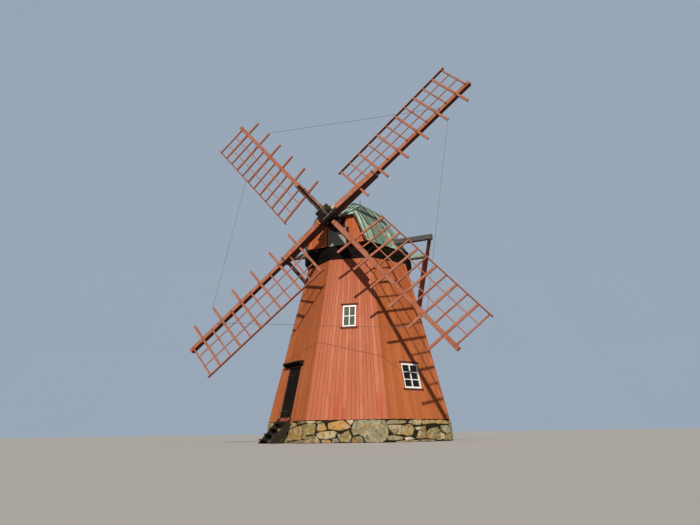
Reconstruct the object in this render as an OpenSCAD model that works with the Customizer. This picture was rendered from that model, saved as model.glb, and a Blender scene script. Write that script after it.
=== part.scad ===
// Octagonal boarded smock windmill on a stone plinth.
// Millimetres, Z up. Origin: the tower axis at the level of the ground.
// The front wall faces -Y and the door wall is the next one towards -X.

/* [Tower] */
// circle through the octagon's corners at the foot of the boards
tower_foot_radius = 3300; // [2500:10:4200]
// circle through the octagon's corners at the top of the boards
tower_top_radius = 1890; // [1400:10:2600]
// height of the foot of the boards above the ground
plinth_height = 690; // [400:10:1200]
// height of the top of the boards above the ground
tower_top_height = 6530; // [5000:10:8000]
// thickness of a tower wall, boards and frame together
wall_thickness = 100; // [60:5:180]
// thickness of the stone plinth
plinth_thickness = 460; // [300:10:700]
// batter of the plinth: how far its foot stands out
plinth_batter = 60; // [0:5:150]
// radius of the stone pier under the middle of the ground floor
pier_radius = 300; // [200:10:500]
// thickness of a floor
floor_thickness = 80; // [40:5:140]
// height of the upper floor's top above the ground
upper_floor_height = 3050; // [2700:10:3400]

/* [Door] */
// width of the door opening, on the slanted wall
door_width = 800; // [600:10:1000]
// height of the door opening, measured up the slanted wall
door_height = 1700; // [1400:10:2000]
// height of the door sill up the slanted wall
door_sill = 120; // [60:5:250]
// shift of the door sideways from the middle of its wall
door_shift = -140; // [-400:10:400]
// thickness of the door frame's boards
door_frame_width = 60; // [30:5:100]
// thickness of the door leaf
door_leaf_thickness = 40; // [25:1:70]
// gap between the door leaf and its frame
door_gap = 8; // [5:1:20]

/* [Door hood] */
// how far the hood stands out from the wall
hood_depth = 225; // [120:5:400]
// width of the hood
hood_width = 1120; // [900:10:1400]
// shift of the hood sideways from the middle of its wall
hood_shift = -200; // [-400:10:400]
// height of the hood's top, at the wall, above the ground
hood_top_height = 2665; // [2600:5:3000]
// fall of the hood's top towards its front
hood_fall = 25; // [0:5:100]
// height of the hood's front board
hood_front_height = 85; // [40:5:150]
// height of the hood's cheeks at the wall
hood_cheek_height = 210; // [120:5:300]
// thickness of the hood's boards
hood_thickness = 30; // [15:1:50]

/* [Steps] */
// number of treads of the entrance steps
step_count = 4; // [2:1:7]
// horizontal reach of the entrance steps from the plinth
step_reach = 690; // [500:10:1400]
// height of the stringers' heads above the plinth
step_rise = 105; // [0:5:115]
// clear width between the stringers
step_width = 760; // [500:10:1200]
// thickness of a stringer
stringer_thickness = 50; // [30:1:90]
// depth of a stringer's board, measured square to its slope
stringer_depth = 220; // [120:5:300]
// thickness of a tread
tread_thickness = 40; // [20:1:70]
// depth of a tread
tread_depth = 210; // [150:5:320]

/* [Windows] */
// width of the front and the back window opening
front_window_width = 480; // [300:10:800]
// height of the front and the back window opening
front_window_height = 780; // [500:10:1100]
// height of that opening's foot up the slanted wall
front_window_foot = 3050; // [2700:10:3400]
// width of the lower window openings
side_window_width = 720; // [500:10:1000]
// height of the lower window openings
side_window_height = 830; // [500:10:1100]
// height of those openings' foot up the slanted wall
side_window_foot = 970; // [700:10:1400]
// width of a window's frame board
window_frame_width = 55; // [30:1:90]
// width of a glazing bar
glazing_bar_width = 26; // [15:1:50]
// thickness of the window glass
glass_thickness = 6; // [3:1:12]
// depth of a window frame
window_depth = 70; // [40:5:90]
// how far a window frame stands out of the wall
window_proud = 14; // [0:1:30]
// thickness of the boards over and under a window
window_board_depth = 28; // [15:1:50]
// how far those boards run past the opening
window_board_over = 60; // [0:5:120]
// height of the boards over and under a window
window_board_height = 70; // [40:5:120]

/* [Skirt] */
// corner radius of the skirt's rim
skirt_radius = 2100; // [1950:10:2400]
// height of the upright rim of the skirt
skirt_rim_height = 250; // [100:10:400]
// height of the skirt's rim above the top of the boards
skirt_rise = 100; // [20:5:118]
// thickness of the skirt's boards
skirt_thickness = 40; // [20:1:80]
// height of the slanting under side of the skirt
skirt_under_height = 170; // [60:5:300]

/* [Cap] */
// heading of the cap at rest, from the front wall towards the right
cap_heading = -13.9; // [-180:0.1:180]
// height of the curb that the cap turns on
curb_height = 120; // [60:5:200]
// height of the roof's top above the underside of the cap
cap_height = 2300; // [2000:10:2800]
// height of the cap's base timbers
cap_frame_height = 280; // [200:5:320]
// sideways distance of the cap's base timbers from its middle
sheer_reach = 900; // [800:10:1000]
// thickness of the roof, measured upright
roof_thickness = 80; // [40:5:140]
// distance of the cap's front wall from the tower axis
cap_front_reach = 2000; // [1700:10:2300]
// overhang of the roof past the cap's front wall
roof_overhang = 170; // [60:5:300]
// distance of the cap's rear wall from the tower axis
cap_rear_reach = 1950; // [1600:10:2300]
// thickness of the cap's gable walls
cap_wall_thickness = 60; // [30:5:120]
// angle of the roof's sides to the windshaft, seen from above
roof_splay = 20; // [10:0.5:30]
// slope of the half hip over each gable
hood_hip_slope = 32; // [20:1:45]
// distance of the half hip's top from the tower axis
hip_top_reach = 620; // [300:10:1000]

/* [Beams and tail] */
// width of a beam's section
beam_width = 170; // [100:5:260]
// height of a beam's section
beam_height = 170; // [100:5:260]
// half length of the long cross beam
long_beam_half = 3080; // [2600:10:3600]
// distance of the long cross beam in front of the tower axis
long_beam_reach = 500; // [200:10:900]
// half length of the short cross beam
short_beam_half = 2260; // [1900:10:2600]
// distance of the short cross beam behind the tower axis
short_beam_reach = 1600; // [1300:10:1750]
// distance of the tail pole's foot from the tower axis
tail_reach = 5760; // [5300:10:6500]
// height of the tail pole's foot above the ground
tail_foot_height = 300; // [150:10:900]
// thickness of the tail pole
tail_pole_width = 200; // [120:5:300]
// height of the tail pole's head above the underside of the cap
tail_head_rise = 860; // [840:5:1100]
// thickness of a tail brace
brace_width = 110; // [70:5:180]

/* [Rotor] */
// distance of the sails' plane from the tower axis, at the windshaft
rotor_reach = 2656; // [2500:1:3000]
// height of the sails' centre above the underside of the cap
rotor_rise = 911; // [860:1:960]
// upward tilt of the windshaft's front end
shaft_tilt = 8.9; // [0:0.1:15]
// turn of the sails at rest
rotor_turn_at_rest = 41.1; // [0:0.1:90]
// diameter of the windshaft
shaft_diameter = 420; // [250:5:600]
// diameter of the windshaft's tail journal
journal_diameter = 160; // [100:5:220]
// width of the block that holds the stocks
poll_width = 520; // [400:5:600]
// how far that block stands out in front of the whips
poll_front = 330; // [200:5:450]
// how far that block reaches behind the whips
poll_back = 380; // [300:5:400]
// width of a stock
stock_width = 210; // [140:5:300]
// depth of a stock, along the windshaft
stock_depth = 150; // [100:5:250]
// half length of a stock
stock_half = 2250; // [1800:10:3500]
// width of the tapered clamps on the front of two whips
clamp_width = 200; // [140:5:300]
// depth of a clamp at the poll
clamp_head_depth = 110; // [60:5:180]
// depth of a clamp at its tip
clamp_tip_depth = 15; // [5:1:60]

/* [Sails] */
// distance of the sail's tip from the windshaft
sail_length = 6800; // [5500:10:8000]
// width of a whip
whip_width = 140; // [90:5:200]
// thickness of a whip
whip_depth = 100; // [60:5:150]
// thickness of the two whips that lie further back, beyond the stock
deep_whip_depth = 170; // [100:5:220]
// how far their fronts lie behind the middle of the bars
deep_whip_front = 10; // [0:1:20]
// distance of the outermost sail bar from the windshaft
outer_bar_radius = 6647; // [5400:1:7800]
// spacing of the sail bars
bar_spacing = 470; // [350:5:600]
// number of bars on the broad side of a sail
bar_count = 12; // [6:1:16]
// width of the lattice on the broad side of the whip
lattice_width = 1352; // [1000:1:1700]
// length of the stubs on the narrow side of the whip
stub_length = 640; // [300:5:900]
// width of a thick sail bar
thick_bar_width = 80; // [50:1:110]
// width of a thin sail bar
thin_bar_width = 46; // [30:1:70]
// thickness of the sail bars
bar_depth = 46; // [30:1:70]
// width of the outer lath
hem_lath_width = 32; // [20:1:90]
// depth of the outer lath, which stands on edge
hem_lath_depth = 90; // [26:1:120]
// width of the two inner laths
lath_width = 30; // [20:1:60]
// thickness of the laths
lath_depth = 26; // [15:1:40]
// turn of the outermost bar out of the sails' plane
weather_at_tip = 3.4; // [0:0.1:10]
// turn of the innermost bar out of the sails' plane
weather_at_heel = 9.9; // [0:0.1:20]

/* [Hidden] */

octagon = 8;
half_corner = 180 / octagon;
corner_cos = cos(half_corner);
// how much the octagon's flat distance shrinks for each millimetre of height
flat_slope = (tower_foot_radius - tower_top_radius) * corner_cos / (tower_top_height - plinth_height);
wall_slant = atan(flat_slope);
foot_flat = tower_foot_radius * corner_cos;
wall_inset = wall_thickness / cos(wall_slant);
big = 20000;
// how far a cutting solid runs past the face that it cuts
cut = 100;
// distance between slanted faces that bear on each other
seat_gap = 0.1;
// distance that a turning piece keeps from its seat
running_gap = 0.3;
skirt_top_height = tower_top_height + skirt_rise;
cap_foot_height = tower_top_height + curb_height;
cap_frame_top = cap_foot_height + cap_frame_height;
roof_top_height = cap_foot_height + cap_height;
rotor_height = cap_foot_height + rotor_rise;

// ring wall, and a pier that carries the middle of the ground floor
module stone_plinth() color("slategray") {
    difference() {
        plinth_outside();
        rotate(half_corner) translate([0, 0, -cut])
            cylinder(h = plinth_height + 2 * cut, r = tower_foot_radius - plinth_thickness, $fn = octagon);
    }
    rotate(half_corner) cylinder(h = plinth_height - seat_gap, r = pier_radius, $fn = octagon);
}

module plinth_outside() intersection_for (i = [0 : octagon / 2 - 1])
    rotate(i * 360 / octagon) rotate([90, 0, 0])
        linear_extrude(height = big, center = true) plinth_section();

plinth_ledge = 10;
module plinth_section() polygon([
    [-foot_flat - plinth_batter, 0], [foot_flat + plinth_batter, 0],
    [foot_flat + plinth_ledge, plinth_height], [-foot_flat - plinth_ledge, plinth_height]]);

// distance of a wall's outer face from the axis at a height
function flat_at(z) = foot_flat - flat_slope * (z - plinth_height);

// prism between the two corner planes of the wall that faces angle 0
module sector(z0, z1) translate([0, 0, z0]) linear_extrude(height = z1 - z0)
    polygon([[0, 0], [big, -big * tan(half_corner)], [big, big * tan(half_corner)]]);

// frame on a wall's outer face: x outwards, y sideways, z up the slope
module on_wall(angle) rotate(angle) translate([foot_flat, 0, plinth_height])
    rotate([0, -wall_slant, 0]) children();

// turn of a wall, counted from the front wall towards the right
function wall_angle(i) = -90 + i * 360 / octagon;

module wall_blank(i) intersection() {
    rotate(wall_angle(i)) sector(plinth_height, tower_top_height);
    on_wall(wall_angle(i)) translate([-wall_thickness, -big / 2, -big / 2])
        cube([wall_thickness, big, big]);
}

module opening_cut(width, height, foot, shift = 0)
    translate([-wall_thickness - cut, shift - width / 2, foot])
        cube([wall_thickness + 2 * cut, width, height]);

module plain_wall(i) color("firebrick") wall_blank(i);
module front_window_wall(i) color("firebrick") difference() {
    wall_blank(i);
    on_wall(wall_angle(i)) opening_cut(front_window_width, front_window_height, front_window_foot);
}
module side_window_wall(i) color("firebrick") difference() {
    wall_blank(i);
    on_wall(wall_angle(i)) opening_cut(side_window_width, side_window_height, side_window_foot);
}
module front_wall() front_window_wall(0);
module front_right_wall() side_window_wall(1);
module right_wall() plain_wall(2);
module back_right_wall() plain_wall(3);
module back_wall() front_window_wall(4);
module back_left_wall() side_window_wall(5);
module left_wall() plain_wall(6);

door_turn = wall_angle(7);
// the door wall is split beside and over the doorway
module door_wall_part(y0, y1, z0, z1) color("firebrick") intersection() {
    wall_blank(7);
    on_wall(door_turn) translate([-big / 2, y0, z0]) cube([big, y1 - y0, z1 - z0]);
}
door_right_y = door_shift + door_width / 2;
door_left_y = door_shift - door_width / 2;
door_top = door_sill + door_height;
module door_wall_left() door_wall_part(-big / 2, door_left_y, -big / 2, door_top);
module door_wall_right() door_wall_part(door_right_y, big / 2, -big / 2, door_top);
module door_wall_over() door_wall_part(-big / 2, big / 2, door_top, big);

// the sill piece under the door closes the wall there
module door_frame() color("firebrick") difference() {
    on_wall(door_turn) translate([-wall_thickness, door_left_y, -2 * cut])
        cube([wall_thickness, door_width, door_top + 2 * cut]);
    on_wall(door_turn) translate([-wall_thickness - cut, door_left_y + door_frame_width, door_sill])
        cube([wall_thickness + 2 * cut, door_width - 2 * door_frame_width, door_height - door_frame_width]);
    translate([-big / 2, -big / 2, plinth_height - big]) cube(big);
}

// the leaf lies a little deeper than the boards
leaf_width = door_width - 2 * door_frame_width - 2 * door_gap;
leaf_height = door_height - door_frame_width - 2 * door_gap;
leaf_depth = 5;
leaf_foot = door_sill + door_gap;
leaf_left_y = door_shift - leaf_width / 2;
module door_leaf() color("black")
    on_wall(door_turn) translate([-door_leaf_thickness - leaf_depth, leaf_left_y, leaf_foot])
        cube([door_leaf_thickness, leaf_width, leaf_height]);

// strap hinges: an eye on each strap turns on a pin that stands on the frame
strap_length = 420;
strap_height = 45;
strap_thickness = 8;
strap_edge_gap = 2;
eye_radius = 13;
pin_radius = 7;
pin_plate_width = 40;
pin_plate_height = 30;
pin_above_eye = 10;
eye_wall_gap = 1;
hinge_x = eye_radius + eye_wall_gap;
hinge_y = door_left_y + door_frame_width;
// heights of the hinges as parts of the leaf's height
hinge_shares = [0.12, 0.88];
hinge_levels = [for (q = hinge_shares) leaf_foot + q * leaf_height - strap_height / 2];
module door_hinges() color("dimgray") for (z = hinge_levels)
    on_wall(door_turn) translate([0, hinge_y, z]) difference() {
        union() {
            translate([-leaf_depth, strap_edge_gap, 0])
                cube([strap_thickness, leaf_left_y - hinge_y + strap_length, strap_height]);
            translate([hinge_x, 0, 0]) cylinder(h = strap_height, r = eye_radius, $fn = 32);
        }
        translate([hinge_x, 0, -pin_above_eye])
            cylinder(h = strap_height + 2 * pin_above_eye, r = pin_radius + running_gap, $fn = 32);
    }
module hinge_pins() color("dimgray") for (z = hinge_levels)
    on_wall(door_turn) translate([0, hinge_y, z]) {
        translate([0, -pin_plate_width, -pin_plate_height - running_gap])
            cube([hinge_x + eye_radius, pin_plate_width + pin_radius + strap_edge_gap, pin_plate_height]);
        translate([hinge_x, 0, -pin_plate_height / 2])
            cylinder(h = strap_height + pin_plate_height / 2 + pin_above_eye, r = pin_radius, $fn = 32);
    }

// the hood is a box of boards, open below, between two cheeks
hood_back = flat_at(hood_top_height) + seat_gap;
hood_front = hood_back + hood_depth;
module hood_board(points, y0, width) rotate(door_turn) translate([0, y0 + width, 0]) rotate([90, 0, 0])
    linear_extrude(height = width) polygon(points);
module door_hood() color("black") {
    left_y = hood_shift - hood_width / 2;
    hood_board([[hood_back, hood_top_height], [hood_front, hood_top_height - hood_fall],
        [hood_front, hood_top_height - hood_fall - hood_thickness],
        [flat_at(hood_top_height - hood_thickness) + seat_gap, hood_top_height - hood_thickness]],
        left_y, hood_width);
    hood_board([[hood_front, hood_top_height - hood_fall], [hood_front, hood_top_height - hood_front_height],
        [hood_front - hood_thickness, hood_top_height - hood_front_height],
        [hood_front - hood_thickness, hood_top_height - hood_fall]], left_y, hood_width);
    for (y = [left_y, left_y + hood_width - hood_thickness])
        hood_board([[hood_back, hood_top_height], [hood_front, hood_top_height - hood_fall],
            [hood_front, hood_top_height - hood_front_height],
            [flat_at(hood_top_height - hood_cheek_height) + seat_gap, hood_top_height - hood_cheek_height]],
            y, hood_thickness);
}

// the stringers bear on the plinth, the wall and the ground, the treads between the stringers
step_top = plinth_height + step_rise;
step_head = foot_flat - wall_thickness / 2;
step_foot = foot_flat + plinth_batter + step_reach;
step_angle = atan(step_top / (step_foot - foot_flat));
step_run = (step_foot - foot_flat) / step_count;
module stringer_section() polygon([[step_head, step_top], [foot_flat, step_top], [step_foot, 0],
    [step_foot - stringer_depth / sin(step_angle), 0],
    [step_head, step_top + (foot_flat - step_head) * tan(step_angle) - stringer_depth / cos(step_angle)]]);
// the plinth and the boards above it, from outside
module tower_outside() {
    plinth_outside();
    eight_sided([[flat_at(plinth_height - cut) + seat_gap, plinth_height - cut],
        [flat_at(tower_top_height) + seat_gap, tower_top_height]]);
}
module step_stringers() color("black") difference() {
    rotate(door_turn) for (side = [-1, 1])
        translate([0, side * (step_width + stringer_thickness) / 2 + door_shift, 0]) rotate([90, 0, 0])
            linear_extrude(height = stringer_thickness, center = true) stringer_section();
    tower_outside();
}
module step_treads() color("black") difference() {
    rotate(door_turn) for (i = [1 : step_count])
        translate([foot_flat + step_run * i - tread_depth, door_shift - step_width / 2, tread_foot(i)])
            cube([tread_depth, step_width, tread_thickness]);
    tower_outside();
}
// the lowest tread stands more than half a step above the ground
lowest_step_share = 0.6;
function tread_foot(i) = step_top * (1 - i / (step_count + lowest_step_share));

// a floor fills the octagon between the inner faces of the walls
module floor_slab(top) intersection() {
    translate([-big / 2, -big / 2, top - floor_thickness]) cube([big, big, floor_thickness]);
    eight_sided([[inner_flat_at(0), 0], [inner_flat_at(tower_top_height), tower_top_height]]);
}
// distance of a floor's edge from the axis at a height
function inner_flat_at(z) = flat_at(z) - wall_inset - seat_gap;
ground_floor_height = plinth_height + floor_thickness;
module ground_floor() color("burlywood") floor_slab(ground_floor_height);
module upper_floor() color("burlywood") floor_slab(upper_floor_height);

// windows: wall, width, height, foot, columns and rows of panes
pane_columns = 2;
front_pane_rows = 2;
side_pane_rows = 3;
window_list = [
    [0, front_window_width, front_window_height, front_window_foot, pane_columns, front_pane_rows],
    [1, side_window_width, side_window_height, side_window_foot, pane_columns, side_pane_rows],
    [4, front_window_width, front_window_height, front_window_foot, pane_columns, front_pane_rows],
    [5, side_window_width, side_window_height, side_window_foot, pane_columns, side_pane_rows]];
module window_frame(w, h, columns, rows) difference() {
    translate([-window_depth, -w / 2, 0]) cube([window_depth, w, h]);
    for (c = [0 : columns - 1], r = [0 : rows - 1])
        translate([-window_depth - cut, pane_y(w, columns, c), pane_z(h, rows, r)])
            cube([window_depth + 2 * cut, pane_w(w, columns), pane_h(h, rows)]);
    translate([-window_depth - cut, -w / 2 + window_frame_width, window_frame_width])
        cube([window_depth / 2 + cut, w - 2 * window_frame_width, h - 2 * window_frame_width]);
}
function pane_w(w, columns) = (w - 2 * window_frame_width - (columns - 1) * glazing_bar_width) / columns;
function pane_h(h, rows) = (h - 2 * window_frame_width - (rows - 1) * glazing_bar_width) / rows;
function pane_y(w, columns, c) = -w / 2 + window_frame_width + c * (pane_w(w, columns) + glazing_bar_width);
function pane_z(h, rows, r) = window_frame_width + r * (pane_h(h, rows) + glazing_bar_width);
module window_frames() color("white") for (q = window_list)
    on_wall(wall_angle(q[0])) translate([window_proud, 0, q[3]]) window_frame(q[1], q[2], q[4], q[5]);
module window_glass() color("lightblue") for (q = window_list)
    on_wall(wall_angle(q[0])) translate([window_proud - window_depth / 2 - glass_thickness,
        -q[1] / 2 + window_frame_width, q[3] + window_frame_width])
        cube([glass_thickness, q[1] - 2 * window_frame_width, q[2] - 2 * window_frame_width]);
module window_boards() color("darkred") for (q = window_list, up = [0, 1])
    on_wall(wall_angle(q[0]))
        translate([0, -q[1] / 2 - window_board_over, q[3] + (up == 1 ? q[2] : -window_board_height)])
            cube([window_board_depth, q[1] + 2 * window_board_over, window_board_height]);

skirt_flat = skirt_radius * corner_cos;
skirt_foot_height = skirt_top_height - skirt_rim_height - skirt_under_height;
// octagonal solid whose section has these points: distance of a flat side, height
module eight_sided(points) intersection_for (i = [0 : octagon / 2 - 1]) rotate(i * 360 / octagon)
    rotate([90, 0, 0]) linear_extrude(height = big, center = true)
        polygon(concat(points, [for (i = [len(points) - 1 : -1 : 0]) [-points[i][0], points[i][1]]]));
module skirt() color("black") difference() {
    eight_sided([[flat_at(skirt_foot_height) + skirt_thickness, skirt_foot_height],
        [skirt_flat, skirt_foot_height + skirt_under_height], [skirt_flat, skirt_top_height]]);
    eight_sided([[flat_at(skirt_foot_height - cut), skirt_foot_height - cut],
        [flat_at(tower_top_height), tower_top_height],
        [flat_at(tower_top_height), skirt_top_height - skirt_thickness]]);
    translate([0, 0, skirt_top_height - 2 * skirt_thickness])
        cylinder(h = cut, r = flat_at(tower_top_height), $fn = 64);
}

curb_inset = 20;
curb_outer = flat_at(tower_top_height) - curb_inset;
curb_width = 260;
module curb_ring() color("burlywood") translate([0, 0, tower_top_height + seat_gap]) difference() {
    cylinder(h = curb_height - seat_gap - running_gap, r = curb_outer, $fn = 64);
    translate([0, 0, -cut]) cylinder(h = curb_height + 2 * cut, r = curb_outer - curb_width, $fn = 64);
}

// Cap, built with the windshaft towards +X and turned by its heading
cap_turn = cap_heading - 90;
// A side of the roof in flat bands, from the eave up to the ridge. Each has its splay, then its
// distance from the tower axis and its depth under the roof's top, at its foot and at its head.
roof_bands = [[roof_splay, 1860, 2230, 1740, 1900], [roof_splay - 3, 1710, 1900, 1470, 1400],
    [roof_splay - 6, 1440, 1400, 1126, 900], [roof_splay - 6, 1126, 900, 850, 510],
    [roof_splay - 6, 850, 510, 0, 0]];
roof_foot = 2260;
// the band's plane, drawn far past its own foot and head
module roof_band(b) {
    run = (b[1] - b[3]) / (b[2] - b[4]);
    polygon([[b[1] + run * (big - b[2]), -big], [b[3] - run * (big + b[4]), big], [-big, big], [-big, -big]]);
}
module roof_side(side, rear) intersection_for (b = roof_bands)
    rotate(side * (90 + rear * b[0])) rotate([90, 0, 0])
        linear_extrude(height = big, center = true) translate([0, roof_top_height]) roof_band(b);
hip_top_drop = 170;
hip_top_z = roof_top_height - hip_top_drop;
module hip_section(reach) polygon([[-big, roof_top_height - roof_foot], [reach, roof_top_height - roof_foot],
    [reach, hip_top_z - (reach - hip_top_reach) * tan(hood_hip_slope)],
    [-big, hip_top_z + (big + hip_top_reach) * tan(hood_hip_slope)]]);
module roof_ends(front, rear) {
    rotate([90, 0, 0]) linear_extrude(height = big, center = true) intersection() {
        hip_section(front);
        mirror([1, 0]) hip_section(rear);
    }
}
module roof_solid(front, rear) intersection() {
    roof_side(1, -1);
    roof_side(-1, -1);
    roof_side(1, 1);
    roof_side(-1, 1);
    roof_ends(front, rear);
}
module roof_inside() translate([0, 0, -roof_thickness]) roof_solid(2 * cap_front_reach, 2 * cap_rear_reach);
module cap_roof() color("mediumaquamarine") difference() {
    rotate(cap_turn) difference() {
        roof_solid(cap_front_reach + roof_overhang, cap_rear_reach + roof_overhang);
        roof_inside();
        beam_box(long_beam_reach, long_beam_half);
        beam_box(-short_beam_reach, short_beam_half);
    }
    finial();
}
// the gable walls stand clear of the skirt, round the windshaft and a hatch
gable_rise = 50;
shaft_hole_gap = 30;
hatch_half = 355;
hatch_height = 620;
module gable_wall(x0) intersection() {
    translate([x0, -big / 2, cap_foot_height + gable_rise]) cube([cap_wall_thickness, big, big]);
    roof_inside();
}
module cap_front_wall() color("firebrick") rotate(cap_turn) difference() {
    gable_wall(cap_front_reach - cap_wall_thickness);
    shaft_hole();
    cap_hatch_box();
}
module shaft_hole() shaft_axis()
    cylinder(h = big, d = shaft_diameter + 2 * shaft_hole_gap, center = true, $fn = 48);
module cap_hatch_box() translate([cap_front_reach - cap_wall_thickness - cut, -hatch_half, cap_foot_height])
    cube([cap_wall_thickness + 2 * cut, 2 * hatch_half, hatch_height + gable_rise]);
module cap_hatch() color("slategray") rotate(cap_turn) difference() {
    intersection() {
        gable_wall(cap_front_reach - cap_wall_thickness);
        cap_hatch_box();
    }
    shaft_hole();
}
module cap_rear_wall() color("firebrick") rotate(cap_turn) gable_wall(-cap_rear_reach);

module cap_frame() color("burlywood") rotate(cap_turn) translate([0, 0, cap_foot_height]) {
    for (y = [-1, 1]) translate([-cap_rear_reach + cap_wall_thickness, y * sheer_reach - beam_width / 2, 0])
        cube([cap_front_reach + cap_rear_reach - 2 * cap_wall_thickness, beam_width, cap_frame_height]);
}
neck_beam_front = 1850;
neck_beam_length = 200;
neck_beam_end_inset = 34;
neck_beam_half = sheer_reach - neck_beam_end_inset;
function shaft_z(x) = rotor_height - (rotor_reach - x) * tan(shaft_tilt);
// the windshaft lies in a notch of the neck beam and, with its journal, of the tail beam
module neck_beam_box() translate([neck_beam_front - neck_beam_length, -neck_beam_half, cap_frame_top])
    cube([neck_beam_length, 2 * neck_beam_half, shaft_z(neck_beam_front) - cap_frame_top]);
tail_beam_rear = -700;
tail_beam_rise = 70;
tail_beam_foot = cap_foot_height + tail_beam_rise;
module tail_beam_box() translate([tail_beam_rear, -sheer_reach + beam_width / 2, tail_beam_foot])
    cube([neck_beam_length, 2 * sheer_reach - beam_width, shaft_z(tail_beam_rear) - tail_beam_foot]);
module shaft_bearings() color("burlywood") rotate(cap_turn) difference() {
    union() {
        neck_beam_box();
        tail_beam_box();
    }
    shaft_axis() translate([0, 0, -shaft_shoulder])
        cylinder(h = big, d = shaft_diameter + 2 * running_gap, $fn = 64);
    shaft_axis() cylinder(h = big, d = journal_diameter + 2 * running_gap, center = true, $fn = 64);
}

module beam_box(x, half) translate([x - beam_width / 2, -half, cap_frame_top])
    cube([beam_width, 2 * half, beam_height]);
module long_cross_beam() color("gray") rotate(cap_turn) beam_box(long_beam_reach, long_beam_half);
module short_cross_beam() color("gray") rotate(cap_turn) beam_box(-short_beam_reach, short_beam_half);

// a square timber from one point to another
module timber(a, b, width) {
    d = b - a;
    translate(a) rotate([0, 0, atan2(d[1], d[0])]) rotate([0, 90 - atan2(d[2], norm([d[0], d[1]])), 0])
        translate([-width / 2, -width / 2, 0]) cube([width, width, norm(d)]);
}
tail_foot = [-tail_reach, 0, tail_foot_height];
// the pole's head is let into the rear wall high enough to pass over the skirt
tail_head = [-cap_rear_reach + cut, 0, cap_foot_height + tail_head_rise];
module tail_pole() color("firebrick") rotate(cap_turn) difference() {
    timber(tail_head, tail_foot, tail_pole_width);
    translate([-cap_rear_reach, -big / 2, -big / 2]) cube(big);
}
// the braces bear on the beams' under sides and on the pole's sides
brace_inset = 90;
brace_rise = 60;
brace_head = cap_frame_top + brace_rise;
// where the braces' feet lie, as a part of the pole's length
long_brace_foot = 0.194;
short_brace_foot = 0.21;
function pole_point(t) = tail_foot + t * (tail_head - tail_foot);
module brace_trim() difference() {
    children();
    translate([-big / 2, -big / 2, cap_frame_top]) cube(big);
    translate([-big / 2, -tail_pole_width / 2, -big / 2]) cube([big, tail_pole_width, big]);
}
module tail_braces() color("firebrick") rotate(cap_turn) for (side = [-1, 1]) {
    brace_trim() timber([long_beam_reach, side * (long_beam_half - brace_inset), brace_head],
        pole_point(long_brace_foot), brace_width);
    brace_trim() timber([-short_beam_reach, side * (short_beam_half - brace_inset), brace_head],
        pole_point(short_brace_foot), brace_width);
}
// iron rod that goes through the ridge, a little behind the tower axis
finial_height = 330;
finial_diameter = 24;
finial_reach = 200;
module finial() color("dimgray") rotate(cap_turn)
    translate([-finial_reach, 0, roof_top_height - 2 * roof_thickness])
        cylinder(h = finial_height + 2 * roof_thickness, d = finial_diameter, $fn = 16);

// Rotor: its frame has Z along the windshaft and X along the first sail
module shaft_axis() translate([rotor_reach, 0, rotor_height]) rotate([0, 90 - shaft_tilt, 0]) children();
module rotor_place() rotate(cap_turn) shaft_axis() rotate(90 + rotor_turn_at_rest) children();
shaft_length = 3450;
shaft_shoulder = 1830;
stock_back = (stock_depth + whip_depth) / 2;
module windshaft() color("saddlebrown") rotor_place() rotate_extrude($fn = 48) polygon([
    [0, -shaft_length], [journal_diameter / 2, -shaft_length], [journal_diameter / 2, -shaft_shoulder],
    [shaft_diameter / 2, -shaft_shoulder], [shaft_diameter / 2, -poll_back], [0, -poll_back]]);
module poll_end() color("saddlebrown") rotor_place() difference() {
    translate([-poll_width / 2, -poll_width / 2, -poll_back])
        cube([poll_width, poll_width, poll_back + poll_front]);
    stock_cross();
}
module stock_cross() translate([0, 0, -stock_back])
    for (a = [0, 90]) rotate(a) cube([2 * stock_half, stock_width, stock_depth], center = true);
// a tapered timber on the front of a whip, from the poll to the stock's end
module clamp() rotate([90, 0, 0]) linear_extrude(height = clamp_width, center = true) polygon([
    [poll_width / 2, whip_depth / 2], [stock_half, whip_depth / 2],
    [stock_half, whip_depth / 2 + clamp_tip_depth], [poll_width / 2, whip_depth / 2 + clamp_head_depth]]);
module sail_stocks() color("firebrick") rotor_place() {
    stock_cross();
    for (a = [0, 180]) rotate(a) clamp();
}

whip_foot_gap = 20;
whip_foot = poll_width / 2 + whip_foot_gap;
// how far the bars stay back from the hem lath's outer edge
bar_end_gap = 5;
function bar_r(k) = outer_bar_radius - bar_spacing * k;
function bar_turn(k) = weather_at_tip + (weather_at_heel - weather_at_tip) * k / (bar_count - 1);
function lattice_point(k, w) = [bar_r(k), w * cos(bar_turn(k)), -w * sin(bar_turn(k))];
splice_length = 150;
splice_gap = 1;
module sail(turn, deep) color("firebrick") rotor_place() rotate(turn) {
    front_end = deep ? stock_half + splice_length : sail_length;
    translate([whip_foot, -whip_width / 2, -whip_depth / 2])
        cube([front_end - whip_foot, whip_width, whip_depth]);
    if (deep) translate([stock_half + splice_gap, -whip_width / 2, -deep_whip_front - deep_whip_depth])
        cube([sail_length - stock_half - splice_gap, whip_width, deep_whip_depth]);
    for (k = [0 : bar_count - 1]) translate([bar_r(k), 0, 0]) rotate([-bar_turn(k), 0, 0])
        sail_bar(k % 2 == 1);
    for (w = [1, 2]) lath(w * lattice_width / 3, [lath_width, lath_depth], inner_lath_over);
    lath(lattice_width - hem_lath_width / 2, [hem_lath_width, hem_lath_depth], hem_lath_over);
}
module sail_bar(thick) {
    w = thick ? thick_bar_width : thin_bar_width;
    start = thick ? -stub_length : 0;
    translate([-w / 2, start, -bar_depth / 2]) cube([w, lattice_width - start - bar_end_gap, bar_depth]);
}
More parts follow.
